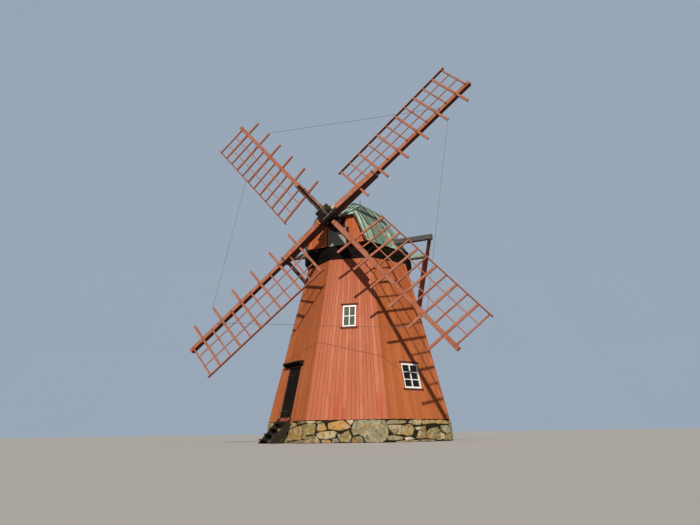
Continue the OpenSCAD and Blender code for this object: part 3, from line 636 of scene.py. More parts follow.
# the seams' dark copper is partly painted shade, and the verge strips' pale copper partly painted light
seam_copper = folded_copper("seam_copper", (0.035, 0.070, 0.062), (0.12, 0.20, 0.165))
verge_copper = folded_copper("verge_copper", (0.36, 0.44, 0.33), (0.62, 0.68, 0.52))
paint(["cap_roof"], copper)
print("coppers:", copper.name, seam_copper.name, verge_copper.name)

# %% [markdown]
# ## Iron and white paint
# The irons were black once and rust in spots. A spot of rust isn't metal, so
# the same mask turns the metal down and the roughness up. The window frames
# are painted white, a little dirty.

# %% Iron and white paint
def iron(name, colour, rust, rough=0.55, metal=0.6):
    """Forged iron with spots of rust."""
    f = Finish(name)
    spots = f.noise(f.place(), 24.0, 5, 0.65)
    cloud = f.noise(f.place(), 5.0, 3, 0.5)
    rusty = f.step(spots * 0.6 + cloud * 0.4, 0.47, 0.64)
    return f.set(Base_Color=f.mix(rusty * 0.7, colour, rust), Metallic=(1 - rusty) * metal,
                 Roughness=rusty * 0.3 + rough, Normal=f.bump(spots, 0.4, 0.002))


def white_paint(name):
    """White paint with a little dirt."""
    f = Finish(name)
    spots = f.noise(f.place(), 30.0, 4, 0.6)
    cloud = f.noise(f.place(), 3.0, 3, 0.5)
    dirt = f.step(spots * 0.5 + cloud * 0.5, 0.54, 0.68)
    return f.set(Base_Color=f.mix(dirt * 0.5, (0.86, 0.86, 0.83), (0.50, 0.48, 0.42)),
                 Roughness=spots * 0.2 + 0.3, Normal=f.bump(spots, 0.25, 0.001))


black_iron = iron("black_iron", (0.026, 0.022, 0.018), (0.11, 0.045, 0.022))
pale_iron = iron("pale_iron", (0.28, 0.27, 0.25), (0.22, 0.12, 0.07), 0.5, 0.5)
paint(["finial", "hinge_pins"], black_iron)
paint(["door_hinges"], iron("hinge_iron", (0.012, 0.011, 0.010), (0.024, 0.018, 0.014), 0.6, 0.3))
paint(["sail_stays"], iron("wire_iron", (0.13, 0.125, 0.12), (0.12, 0.09, 0.07), 0.5, 0.3))
paint(["window_frames"], white_paint("white_window_paint"))
print("irons and window frames are on")

# %% [markdown]
# ## Window panes
# Seen from below, the upper windows mirror something bright and the lower ones
# show a dark room. A plain backdrop gives a pane nothing to mirror, so the panes
# are dark glass: the upper ones carry a painted reflection, a pale ripple, with
# some dust, and the lower ones are painted near black as painted shade.

# %% Panes
UPPER_WINDOW_FOOT = 3.2
glazing = Finish("window_panes", Roughness=0.06, Metallic=0.0, IOR=1.5)
ripple = glazing.noise(glazing.place(), 5.0, 2, 0.5)
dust = glazing.noise(glazing.place(), 16.0, 4, 0.6)
upper = glazing.step(glazing.part(glazing.place(), 2), UPPER_WINDOW_FOOT, UPPER_WINDOW_FOOT + 0.2)
# painted reflection on the upper panes and painted shade on the lower ones
pane_reflection_and_shade = glazing.mix(upper * (ripple * 0.6 + 0.55), (0.006, 0.007, 0.007), (0.115, 0.125, 0.095))
glazing.set(Base_Color=glazing.mix(upper * dust * 0.2, pane_reflection_and_shade, (0.10, 0.105, 0.10)),
            Roughness=dust * 0.12 + 0.03, Normal=glazing.bump(ripple, 0.12, 0.01))
paint(["window_glass"], glazing.material)
print("the panes are in")

# %% [markdown]
# ## The rubble plinth
# Field stones of every size are laid dry, and each was picked to fit its
# neighbours, so their outlines are broken lines with black joints between.
# A stone could be sculpted, but an outline drawn in metres on its wall, pulled
# to a block, with its rim set in and its face roughened by noise, keeps the
# fit of the real ones and costs few faces. The finish comes first: each stone
# has its own colour, in a colour attribute, under stains and lichen.

# %% Finish of the stones
STONE_COLOURS = {
    "grey": (0.27, 0.25, 0.155), "olive": (0.24, 0.19, 0.070), "orange": (0.50, 0.24, 0.060),
    "ochre": (0.42, 0.26, 0.085), "cream": (0.56, 0.44, 0.26), "brown": (0.24, 0.15, 0.065),
    "blue": (0.20, 0.20, 0.16), "white": (0.66, 0.60, 0.46)}


def rubble_finish():
    """Every stone's own colour under ochre stain, grey lichen, dark hollows and pale grains."""
    f = Finish("rubble_stone", Specular_IOR_Level=0.2)
    own = f.colour_of("stone_colour")
    place = f.place()
    colour = own
    for scale, low, high, share, tint in ((3.5, 0.48, 0.58, 0.62, (0.38, 0.22, 0.055)),
                                          (6.0, 0.50, 0.62, 0.60, (0.46, 0.43, 0.29)),
                                          (9.0, 0.52, 0.64, 0.75, (0.075, 0.062, 0.034)),
                                          (20.0, 0.56, 0.66, 0.45, (0.60, 0.55, 0.42))):
        patch = f.noise(place, scale, 4, 0.6, 0.3)
        colour = f.mix(f.step(patch, low, high) * share, colour, tint)
    grain = f.noise(place, 30.0, 5, 0.7)
    rough = f.noise(place, 9.0, 5, 0.65)
    colour = f.mix(f.step(grain, 0.30, 0.75) * 0.35, colour, (0.10, 0.085, 0.050))
    return f.set(Base_Color=colour, Roughness=0.97 - grain * 0.15,
                 Normal=f.bump(grain * 0.3 + rough * 0.7, 0.9, 0.035))


rubble = rubble_finish()
# the plinth's core shows near black between the stones: dark joints, and painted shade for the gaps between
# dry-laid stones
joints_and_painted_shade = Finish("plinth_joints", Specular_IOR_Level=0.1)
joint_noise = joints_and_painted_shade.noise(joints_and_painted_shade.place(), 20.0, 5, 0.7)
joints_and_painted_shade.set(Base_Color=joints_and_painted_shade.mix(joint_noise, (0.008, 0.007, 0.005), (0.030, 0.024, 0.015)),
           Roughness=joint_noise * 0.1 + 0.88, Normal=joints_and_painted_shade.bump(joint_noise, 0.9, 0.02))
paint(["stone_plinth"], joints_and_painted_shade.material)
print("stones come in", len(STONE_COLOURS), "colours")

# %% [markdown]
# ## The face of one stone
# An outline becomes the corners of a face on the battered plinth. Each corner
# moves out a little, so that neighbours nearly touch, and a long side gets a
# knick, because no field stone has a straight side.

# %% Corners of a stone
PLINTH_BATTER, PLINTH_LEDGE = 0.06, 0.01
STONE_TOP = 0.668
LONG_SIDE, KNICK, SPREAD = 0.18, 0.012, 0.010
END_STONE, END_REACH = 1.22, 0.035


def plinth_face(z):
    """Distance of the plinth's outer face from the axis at a height."""
    return FOOT_FLAT + PLINTH_BATTER + (PLINTH_LEDGE - PLINTH_BATTER) * z / PLINTH_TOP


def stone_corners(outline):
    """Places of a stone's corners before its wall is turned to its heading."""
    corners = [Vector(point) for point in outline]
    middle = sum(corners, Vector((0, 0))) / len(corners)
    places = []
    for corner, ahead in zip(corners, corners[1:] + corners[:1]):
        side = [corner]
        if (ahead - corner).length > LONG_SIDE:
            knick = corner.lerp(ahead, dice.uniform(0.35, 0.65))
            side.append(knick + Vector((dice.uniform(-KNICK, KNICK), dice.uniform(-KNICK, KNICK))))
        for y, z in side:
            away = (Vector((y, z)) - middle).normalized() * SPREAD
            y, z = y + away.x, min(max(z + away.y, 0), STONE_TOP)
            if abs(y) > END_STONE:
                # the end stones reach round the plinth's corner
                y += math.copysign(END_REACH, y)
            places.append((plinth_face(z), y, z))
    return places


print("a stone's face leans from", round(plinth_face(0), 3), "to", round(plinth_face(PLINTH_TOP), 3), "m")

# %% [markdown]
# ## From a face to a stone
# The face is pulled back to a block and its rim is set in twice, so that it
# stands proud with broken arrises. Then its long edges are divided and noise
# moves its vertices, which chips it unevenly.

# %% One stone
STONE_DEPTH = 0.10
LONG_EDGE = 0.16
# this noise starts from the clock unless it gets a seed, and each run would chip differently
noise.seed_set(11)


def divide_face(bm):
    """Triangles on the front, with the long edges cut in three."""
    bmesh.ops.triangulate(bm, faces=[f for f in bm.faces if f.normal.x > 0.2])
    bmesh.ops.subdivide_edges(bm, edges=[e for e in bm.edges if e.calc_length() > LONG_EDGE
                                         and min(v.co.x for v in e.verts) > FOOT_FLAT], cuts=2)
    bmesh.ops.triangulate(bm, faces=[f for f in bm.faces if f.normal.x > 0.2])


def chip_face(bm):
    """Noise from a spot of its own roughens the front."""
    spot = Vector((dice.random() * 60, dice.random() * 60, dice.random() * 60))
    for v in bm.verts:
        if v.co.x > FOOT_FLAT:
            chip = noise.noise_vector(v.co * 6 + spot)
            v.co += Vector((min(chip.x, 0.5) * 0.030, chip.y * 0.014, chip.z * 0.010))


def add_stone(wall_bm, wall, outline, colour):
    """One stone whose face fills an outline of (y, z) on a wall's plinth."""
    bm = bmesh.new()
    layer = bm.loops.layers.float_color.new("stone_colour")
    ring = [bmesh.ops.create_vert(bm, co=co)["vert"][0] for co in stone_corners(outline)]
    face = bmesh.ops.contextual_create(bm, geom=ring)["faces"][0]
    if face.normal.x < 0:
        bmesh.ops.reverse_faces(bm, faces=[face])
    back = bmesh.ops.extrude_face_region(bm, geom=[face])["geom"]
    bmesh.ops.translate(bm, vec=(-STONE_DEPTH, 0, 0),
                        verts=[v for v in back if isinstance(v, bmesh.types.BMVert)])
    bmesh.ops.recalc_face_normals(bm, faces=bm.faces[:])
    face = max(bm.faces, key=lambda f: f.normal.x)
    proud = 0.022 + 0.018 * dice.random()
    for thick, depth in ((0.010, proud * 0.7), (0.022, proud * 0.3)):
        bmesh.ops.inset_region(bm, faces=[face], thickness=thick, depth=depth, use_even_offset=False)
    divide_face(bm)
    chip_face(bm)
    shade = 0.85 + 0.3 * dice.random()
    for f in bm.faces:
        for loop in f.loops:
            loop[layer] = (*[c * shade for c in STONE_COLOURS[colour]], 1)
    bmesh.ops.rotate(bm, verts=bm.verts[:], matrix=Matrix.Rotation(wall_angle(wall), 3, "Z"))
    mesh = bpy.data.meshes.new("stone")
    bm.to_mesh(mesh)
    bm.free()
    wall_bm.from_mesh(mesh)
    bpy.data.meshes.remove(mesh)


print("a stone can be shaped")

# %% [markdown]
# ## Where the stones lie
# The three walls towards the viewer have their own outlines, as the stones lie
# in the photo. They are in metres, from the wall's middle and from the mill's foot.

# %% Outlines of the stones
FRONT_STONES = [
    ("cream", (-1.24, 0.66), (-1.00, 0.66), (-0.95, 0.62), (-1.06, 0.59), (-1.20, 0.58)),
    ("grey", (-0.93, 0.65), (-0.76, 0.65), (-0.78, 0.60), (-0.92, 0.57)),
    ("olive", (-1.26, 0.55), (-0.97, 0.57), (-0.95, 0.48), (-1.01, 0.26), (-1.26, 0.23)),
    ("ochre", (-0.89, 0.55), (-0.72, 0.61), (-0.61, 0.40), (-0.75, 0.35), (-0.88, 0.35), (-0.92, 0.41)),
    ("orange", (-0.55, 0.59), (-0.23, 0.65), (-0.09, 0.66), (0.06, 0.55), (0.14, 0.45), (-0.06, 0.39),
     (-0.33, 0.37), (-0.57, 0.42)),
    ("cream", (-0.94, 0.28), (-0.79, 0.33), (-0.41, 0.36), (-0.30, 0.31), (-0.36, 0.16), (-0.61, 0.11),
     (-0.77, 0.12), (-0.90, 0.17)),
    ("olive", (-0.28, 0.28), (-0.17, 0.24), (-0.02, 0.32), (0.08, 0.37), (0.15, 0.18), (0.11, 0.02),
     (-0.18, 0.03), (-0.24, 0.15)),
    ("cream", (-0.02, 0.66), (0.21, 0.66), (0.21, 0.60), (0.13, 0.52), (0.04, 0.60)),
    ("blue", (-0.43, 0.12), (-0.28, 0.13), (-0.22, 0.02), (-0.44, 0.00)),
    ("grey", (0.28, 0.66), (0.53, 0.67), (0.94, 0.66), (1.17, 0.65), (1.22, 0.48), (1.25, 0.30), (1.21, 0.08),
     (1.07, 0.00), (0.62, 0.00), (0.50, 0.20), (0.37, 0.24), (0.23, 0.22), (0.17, 0.36), (0.18, 0.46),
     (0.24, 0.60)),
    ("brown", (0.27, 0.18), (0.44, 0.18), (0.54, 0.04), (0.48, 0.00), (0.17, 0.00), (0.18, 0.14)),
    ("brown", (-1.25, 0.19), (-1.00, 0.23), (-0.84, 0.10), (-0.80, 0.00), (-1.25, 0.00)),
    ("ochre", (-0.76, 0.09), (-0.48, 0.08), (-0.49, 0.00), (-0.75, 0.00))]
DOOR_STONES = [
    ("cream", (0.42, 0.64), (0.72, 0.58), (0.65, 0.53), (0.33, 0.46), (0.27, 0.47)),
    ("olive", (0.83, 0.66), (1.18, 0.66), (1.24, 0.60), (0.92, 0.57), (0.73, 0.61)),
    ("ochre", (0.28, 0.42), (0.66, 0.50), (1.00, 0.52), (1.03, 0.34), (0.99, 0.10), (0.16, 0.06),
     (0.20, 0.26)),
    ("olive", (1.04, 0.54), (1.25, 0.56), (1.26, 0.14), (1.05, 0.10), (1.06, 0.34)),
    ("brown", (0.20, 0.03), (0.66, 0.06), (0.70, 0.00), (0.20, 0.00)),
    ("blue", (0.74, 0.07), (1.24, 0.10), (1.25, 0.00), (0.73, 0.00))]
RIGHT_STONES = [
    ("grey", (-1.25, 0.61), (-1.16, 0.64), (-0.99, 0.64), (-0.58, 0.63), (-0.56, 0.56), (-0.99, 0.53),
     (-1.25, 0.52)),
    ("cream", (-1.25, 0.49), (-1.06, 0.50), (-0.74, 0.49), (-0.77, 0.35), (-0.85, 0.23), (-1.08, 0.24),
     (-1.20, 0.36)),
    ("ochre", (-0.72, 0.48), (-0.58, 0.50), (-0.45, 0.53), (-0.33, 0.50), (-0.25, 0.39), (-0.37, 0.20),
     (-0.55, 0.18), (-0.81, 0.23), (-0.74, 0.35)),
    ("cream", (-0.41, 0.62), (-0.19, 0.66), (0.08, 0.66), (0.07, 0.56), (-0.03, 0.49), (-0.27, 0.52),
     (-0.43, 0.56)),
    ("ochre", (0.11, 0.63), (0.38, 0.65), (0.66, 0.64), (0.67, 0.56), (0.33, 0.53), (0.12, 0.52)),
    ("white", (-0.22, 0.42), (0.02, 0.44), (0.00, 0.37), (-0.13, 0.35)),
    ("brown", (0.05, 0.45), (0.24, 0.47), (0.22, 0.11), (-0.11, 0.09), (-0.20, 0.12), (-0.08, 0.30)),
    ("olive", (0.26, 0.30), (0.42, 0.38), (0.72, 0.43), (0.82, 0.31), (0.84, 0.09), (0.57, 0.06),
     (0.27, 0.09)),
    ("grey", (-1.25, 0.19), (-1.11, 0.21), (-0.73, 0.15), (-0.77, 0.07), (-1.01, 0.06), (-1.25, 0.07)),
    ("white", (-0.66, 0.14), (-0.44, 0.15), (-0.28, 0.10), (-0.35, 0.06), (-0.62, 0.06)),
    ("cream", (-0.98, 0.035), (-0.37, 0.04), (-0.08, 0.05), (-0.05, 0.0), (-0.98, 0.0)),
    ("olive", (-0.02, 0.06), (0.55, 0.04), (0.58, 0.0), (-0.02, 0.0)),
    ("cream", (0.87, 0.28), (1.03, 0.19), (0.98, 0.05), (0.66, 0.03), (0.87, 0.08)),
    ("ochre", (0.71, 0.65), (1.06, 0.65), (1.25, 0.62), (1.25, 0.52), (0.72, 0.54)),
    ("grey", (0.90, 0.48), (1.25, 0.49), (1.26, 0.27), (1.06, 0.22), (0.87, 0.34)),
    ("olive", (1.08, 0.19), (1.26, 0.23), (1.26, 0.02), (1.02, 0.02))]
print("outlines of", len(FRONT_STONES + DOOR_STONES + RIGHT_STONES), "stones are drawn")

# %% [markdown]
# ## Uneven courses for the other walls
# The walls behind, and the stretch that the steps hide, have no outlines of
# their own. Three courses of blocks, each with a corner or two knocked off and
# with joints that lean, read as the same dry work.

# %% Courses and the plinth
PLINTH_END = 1.25
JOINT = 0.012
COURSE_COLOURS = ["grey", "olive", "orange", "ochre", "cream", "brown", "blue"]
COURSE_SHARES = (6, 5, 1, 4, 5, 2, 3)


def rubble_courses(left, right):
    """Outlines of uneven courses, for a wall or a part of it without a plan."""
    low = 0.0
    heights = (0.36 + 0.1 * dice.random(), 0.72 + 0.08 * dice.random(), 0.96)
    for share, widest in zip(heights, (0.62, 0.52, 0.48)):
        high = PLINTH_TOP * share
        top, foot = left, left
        while foot < right:
            width = widest * (0.45 + 0.55 * dice.random())
            next_foot = foot + width if right - foot - width > 0.16 else right
            next_top = next_foot + dice.uniform(-0.06, 0.06) if next_foot < right else right
            rise = [dice.uniform(-0.025, 0.02) for _ in range(2)]
            points = [(foot + JOINT, low + JOINT), (next_foot - JOINT, low + 0.008),
                      (next_top - JOINT, high + rise[0]), (top + JOINT, high + rise[1])]
            # one or two corners are knocked off
            for corner in sorted(dice.sample(range(4), dice.choice((1, 2))), reverse=True):
                at = Vector(points[corner])
                to = [at.lerp(Vector(points[k % len(points)]), dice.uniform(0.12, 0.35))
                      for k in (corner - 1, corner + 1)]
                points[corner:corner + 1] = [tuple(c) for c in to]
            colour = dice.choices(COURSE_COLOURS, weights=COURSE_SHARES)[0]
            yield colour, *[(y, min(z, 0.665)) for y, z in points]
            top, foot = next_top, next_foot
        low = high


for number, label in enumerate(WALL_NAMES):
    wall_bm = bmesh.new()
    wall_bm.loops.layers.float_color.new("stone_colour")
    # only the door's wall uses these, but each wall draws them, so that the dice stay in step
    beside_steps = list(rubble_courses(-PLINTH_END, 0.14))
    plan = {0: FRONT_STONES, 1: RIGHT_STONES, DOOR_WALL: DOOR_STONES + beside_steps}.get(number)
    for colour, *outline in plan or list(rubble_courses(-PLINTH_END, PLINTH_END)):
        add_stone(wall_bm, number, outline, colour)
    add_piece(label + "_plinth_stones", wall_bm, rubble, "tower", "stone")

# %% [markdown]
# ## Lines on the copper roof
# Seams and rolls follow the roof's surface. Their paths are seen from above as
# straight lines in the cap's frame, so a ray is dropped on the roof at each
# step, and a small section is swept along the points that it hits.

# %% Paths on the roof
RAY_HEIGHT, EAVE_FOOT = 12, 6.68
SHORTEST_PATH = 3
CAP_INVERSE = CAP_PLACE.inverted().to_3x3()
bpy.context.view_layer.update()
roof_tree = BVHTree.FromObject(nodes["cap_roof"], bpy.context.evaluated_depsgraph_get())


def on_roof(u, v):
    """Point and outside normal of the roof at a place in the cap's frame, or None."""
    start = CAP_PLACE @ Vector((u, v, RAY_HEIGHT))
    point, normal, _, _ = roof_tree.ray_cast(start, Vector((0, 0, -1)))
    if point is None or point.z < EAVE_FOOT:
        return None
    return point, normal


def roof_path(spots):
    return [hit for hit in (on_roof(u, v) for u, v in spots) if hit]


def sideways(hit):
    """How much the roof faces the cap's sides there: nearly nothing on a half hip."""
    return abs((CAP_INVERSE @ hit[1]).y)


def sweep(bm, path, outline):
    """Pulls an outline along a path of points with their surface normals."""
    if len(path) < SHORTEST_PATH:
        return
    loop = bmesh.ops.create_circle(bm, cap_ends=False, radius=1, segments=len(outline))["verts"]
    for step, (point, normal) in enumerate(path):
        ahead = path[min(step + 1, len(path) - 1)][0] - path[max(step - 1, 0)][0]
        z = ahead.normalized()
        x = normal.cross(z).normalized()
        y = z.cross(x)
        place = Matrix((x, y, z)).transposed().to_4x4()
        place.translation = point
        if step:
            grown = bmesh.ops.extrude_edge_only(bm, edges=ring)["geom"]
            fresh = {v for v in grown if isinstance(v, bmesh.types.BMVert)}
            pairs = {}
            for v in loop:
                pairs[v] = next(e.other_vert(v) for e in v.link_edges if e.other_vert(v) in fresh)
            ring = [e for e in grown if isinstance(e, bmesh.types.BMEdge)
                    and e.verts[0] in fresh and e.verts[1] in fresh]
            loop = [pairs[v] for v in loop]
        else:
            ring = list({e for v in loop for e in v.link_edges})
            first = list(ring)
        for v, (a, b) in zip(loop, outline):
            v.co = place @ Vector((a, b, 0))
    bmesh.ops.edgeloop_fill(bm, edges=first)
    bmesh.ops.edgeloop_fill(bm, edges=ring)


def box_outline(width, low, high):
    return [(-width / 2, low), (width / 2, low), (width / 2, high), (-width / 2, high)]


def round_outline(radius, count=8):
    return [(radius * math.cos(2 * math.pi * i / count), radius * math.sin(2 * math.pi * i / count))
            for i in range(count)]


print("the roof has", len(nodes["cap_roof"].data.polygons), "faces to follow")

# %% [markdown]
# ## Standing seams
# The sheets are joined by standing seams that run down the slope. On the long
# sides they lean with the sheets and end where the half hip begins; on the
# half hips they run straight down.

# %% Seams
SEAM_WIDTH, SEAM_FOOT, SEAM_HEIGHT = 0.022, -0.01, 0.032
SHEETS, SEAM_END = 5, 2.15
HIP_SEAMS = (-0.62, -0.36, -0.12, 0.12, 0.36, 0.62)
seams = bmesh.new()
for side in (-1, 1):
    for end in (-1, 1):
        for n in range(SHEETS):
            start = n * SHEET_WIDTH + (0.0 if end > 0 else SHEET_WIDTH / 2)
            reaches = [0.02 + 0.0707 * k for k in range(30)]
            spots = [(end * (start + v * SHEET_LEAN), side * v) for v in reaches
                     if start + v * SHEET_LEAN < SEAM_END]
            path = [hit for hit in roof_path(spots) if sideways(hit) > 0.2]
            sweep(seams, path, box_outline(SEAM_WIDTH, SEAM_FOOT, SEAM_HEIGHT))
for end in (-1, 1):
    for v in HIP_SEAMS:
        spots = [(end * (0.5 + 0.055 * k), v) for k in range(31)]
        path = [hit for hit in roof_path(spots) if sideways(hit) < 0.1]
        sweep(seams, path, box_outline(SEAM_WIDTH, SEAM_FOOT, SEAM_HEIGHT - 0.002))
add_turned_out("roof_seams", seams, seam_copper, "cap", "copper")

# %% [markdown]
# ## Rolls and verges
# Hips, ridge and verges carry round rolls, and a pale strip of copper lies
# inside each verge, its paleness partly painted light. The line of a hip isn't
# known beforehand, so it is searched: halving the step finds the crease
# between two slopes in a few rays.

# %% Rolls and verges
FRONT_VERGE, REAR_VERGE = 2.165, 2.115
STRIP_WIDTH, STRIP_INSET = 0.11, 0.085
VERGE_STEPS = range(4, 42)


def hip_line(side, end):
    """Where the half hip meets a side: found by halving the step to the crease."""
    path = []
    for k in range(16):
        v = side * (0.01 + 0.075 * k)
        low, high = 0.3, 2.15
        for _ in range(24):
            middle = (low + high) / 2
            hit = on_roof(end * middle, v)
            if hit is None:
                high = middle
                continue
            low, high = (middle, high) if sideways(hit) > 0.12 else (low, middle)
        hit = on_roof(end * (low - 0.004), v)
        if hit and low < 2.1:
            path.append(hit)
    return path


rolls = bmesh.new()
strips = bmesh.new()
for end, edge in ((1, FRONT_VERGE), (-1, REAR_VERGE)):
    for side in (-1, 1):
        sweep(rolls, hip_line(side, end), round_outline(0.030))
        for bm, u, outline in ((rolls, edge, round_outline(0.026)),
                               (strips, edge - STRIP_INSET, box_outline(STRIP_WIDTH, -0.006, 0.007))):
            path = roof_path([(end * u, side * (0.05 * k)) for k in VERGE_STEPS])
            sweep(bm, [hit for hit in path if sideways(hit) > 0.2], outline)
sweep(rolls, roof_path([(-0.55 + 0.1 * k, 0.0) for k in range(12)]), round_outline(0.036))
add_turned_out("roof_rolls", rolls, seam_copper, "cap", "copper", smooth=True)
add_turned_out("verge_strips", strips, verge_copper, "cap", "copper")

# %% [markdown]
# ## The boarded ends of the cap
# The gables of the cap are boarded upright like the tower. The boards are sawn
# to the underside of the roof, whose flat bands are the same ones that the
# roof is built from, so each band gives one saw cut.

# %% Cap boards
ROOF_THICKNESS = 0.08
# splay in degrees, then reach and depth under the ridge of each band's foot and head
ROOF_BANDS = [(20, 1.86, 2.23, 1.74, 1.90), (17, 1.71, 1.90, 1.47, 1.40), (14, 1.44, 1.40, 1.126, 0.90),
              (14, 1.126, 0.90, 0.85, 0.51), (14, 0.85, 0.51, 0.0, 0.0)]
HIP_TOP, HIP_REACH, HIP_SLOPE = 8.78, 0.62, math.radians(32)
GABLE_FOOT, GABLE_HEAD, GABLE_HALF = 6.70, 8.3, 1.25
GABLE_BOARD, GABLE_GAP = 0.125, 0.006
CAP_REAR = -1.95
HATCH_OPENING, SHAFT_OPENING = (-0.37, 0.37, 6.0, 7.33), (-0.25, 0.25, 7.0, 7.72)
TAIL_OPENING = (-0.11, 0.11, 6.9, 7.95)


def roof_cuts(end):
    """Saw cuts along the underside of the roof for boards of the front or rear end."""
    cuts = []
    for splay, reach_foot, drop_foot, reach_head, drop_head in ROOF_BANDS:
        for side in (-1, 1):
            turn = side * math.radians(90 - end * splay)
            rise, run = drop_foot - drop_head, reach_foot - reach_head
            cuts.append(((math.cos(turn) * reach_foot, math.sin(turn) * reach_foot,
                          ROOF_TOP - drop_foot - ROOF_THICKNESS),
                         (math.cos(turn) * rise, math.sin(turn) * rise, run)))
    cuts.append(((end * HIP_REACH, 0, HIP_TOP - ROOF_THICKNESS),
                 (end * math.sin(HIP_SLOPE), 0, math.cos(HIP_SLOPE))))
    return cuts


def clad_gable(name, end, face, keep_out):
    """Upright boards of one gable, which stop at the openings (y from, y to, z from, z to)."""
    boards = Boards()
    y = -GABLE_HALF
    while y < GABLE_HALF:
        y1 = y + GABLE_BOARD + 0.03 * dice.random()
        tone = dice.random()
        spans = [(GABLE_FOOT, GABLE_HEAD)]
        for a, b, z0, z1 in keep_out:
            if y1 > a + 0.01 and y < b - 0.01:
                below = [(low, min(high, z0)) for low, high in spans if low < z0]
                spans = below + [(max(low, z1), high) for low, high in spans if high > z1]
        for low, high in spans:
            proud = 0.016 + 0.006 * dice.random()
            back, front = (face, face + proud) if end > 0 else (face - proud, face)
            boards.add(CAP_PLACE, (back, y + GABLE_GAP, low), (front, y1 - GABLE_GAP, high), tone=tone,
                       cuts=roof_cuts(end))
        y = y1
    boards.finish(name, cap_paint, "cap", "red_boards", edge=0.0)


clad_gable("cap_front_boards", 1, CAP_FRONT, [HATCH_OPENING, SHAFT_OPENING])
clad_gable("cap_rear_boards", -1, CAP_REAR, [TAIL_OPENING])

# %% [markdown]
# ## Tarred boards and the door
# The skirt under the cap and the door leaf are made of tarred planks. They are
# laid on the construction solids with the same sawn boards as the walls. The
# skirt's tar has browned in the sun, and the door's is still blue black.

# %% Skirt
skirt_tar = board_paint("tarred_planks", (0.009, 0.006, 0.005), (0.022, 0.014, 0.011), TAR_DEEP, 0.5,
                        gloss=0.06)
SKIRT_PLANKS = 12
SKIRT_RADIUS = 2.1
SKIRT_FLAT = SKIRT_RADIUS * math.cos(HALF_CORNER)
SKIRT_TOP, SKIRT_RIM = 6.63, 0.25
boards = Boards()
for wall in range(SIDES):
    place = Matrix.Rotation(wall_angle(wall), 4, "Z")
    half = SKIRT_FLAT * math.tan(HALF_CORNER)
    shares = board_edges(SKIRT_PLANKS)
    for left, right in zip(shares, shares[1:]):
        y0, y1 = -half + 2 * half * left + 0.003, -half + 2 * half * right - 0.003
        boards.add(place, (SKIRT_FLAT - 0.002, y0, SKIRT_TOP - SKIRT_RIM - 0.012 * dice.random()),
                   (SKIRT_FLAT + 0.010 + 0.004 * dice.random(), y1, SKIRT_TOP + 0.004))
boards.finish("skirt_planks", skirt_tar, "tower", "black_wood", edge=0.002)

# %% Door planks and window trims
door_tar = board_paint("door_tar", (0.007, 0.0075, 0.0085), (0.014, 0.0145, 0.015), (0.003, 0.003, 0.0035),
                       0.5, gloss=0.06)
DOOR_PLANKS = 5
LEAF_LEFT, LEAF_RIGHT, LEAF_FOOT, LEAF_TOP = -0.472, 0.192, 0.128, 1.752
TRIM_OUT, TRIM_IN = 0.012, 0.016
boards = Boards()
shares = board_edges(DOOR_PLANKS)
for left, right in zip(shares, shares[1:]):
    y0 = LEAF_LEFT + (LEAF_RIGHT - LEAF_LEFT) * left + 0.002
    y1 = LEAF_LEFT + (LEAF_RIGHT - LEAF_LEFT) * right - 0.002
    boards.add(wall_place(DOOR_WALL), (-0.012, y0, LEAF_FOOT), (-0.0052, y1, LEAF_TOP))
boards.finish("door_planks", door_tar, "door", "black_wood", edge=0.0015)

# painted shade: a tarred board fills the strip between the door and its hood, which lies in the hood's shade
boards = Boards()
boards.add(wall_place(DOOR_WALL), (0.0195, -0.724, 1.83), (0.034, 0.324, 1.985), along=1)
boards.finish("shade_board_over_door", skirt_tar, "tower", "black_wood", edge=0.003)

trim_paint = board_paint("trim_paint", (0.36, 0.06, 0.035), (0.45, 0.13, 0.08), (0.2, 0.03, 0.02))
trims = Boards()
for wall, (y0, y1, z0, z1) in OPENINGS.items():
    if wall != DOOR_WALL:
        for a, b in ((y0 - TRIM_OUT, y0 + TRIM_IN), (y1 - TRIM_IN, y1 + TRIM_OUT)):
            trims.add(wall_place(wall), (0.004, a, z0 + 0.001), (0.022, b, z1 - 0.001))
trims.finish("window_side_boards", trim_paint, "tower", "dark_red_wood", edge=0.002)

# %% [markdown]
# ## Copper on the beams
# Where the cross beams leave the roof they are wrapped in folded copper, which
# keeps rain off them: the short beam on both sides, and the long one on the
# left only. A cover is three thin sheets that lie on the beam.

# %% Beam covers
BEAM, BEAM_FOOT = 0.17, 6.93
LONG_BEAM, SHORT_BEAM, SHORT_BEAM_END = 0.5, -1.6, 2.265
SHEET, SLIT = 0.004, 0.0005
boards = Boards()


def beam_cover(u, v0, v1, drop):
    """A cover on the beam at u, from v0 to v1, that hangs down by drop on both its sides."""
    a, b = u - BEAM / 2, u + BEAM / 2
    top = BEAM_FOOT + BEAM
    boards.add(CAP_PLACE, (a - SHEET, v0, top), (b + SHEET, v1, top + SHEET), along=1)
    boards.add(CAP_PLACE, (a - SHEET, v0, top - drop), (a - SLIT, v1, top), along=1)
    boards.add(CAP_PLACE, (b + SLIT, v0, top - drop), (b + SHEET, v1, top), along=1)


beam_cover(LONG_BEAM, -2.65, -1.95, 0.06)
beam_cover(SHORT_BEAM, -SHORT_BEAM_END, -1.6, 0.12)
beam_cover(SHORT_BEAM, 1.6, SHORT_BEAM_END, 0.12)
boards.finish("beam_covers", copper, "cap", "copper", edge=0.0)

# %% [markdown]
# ## Iron bands and straps
# Two iron bands hold the poll together, and straps tie three of the whips to
# their stocks. What lies on the rotor is placed from its sides: one turn of 90
# degrees leads from one sail to the next.

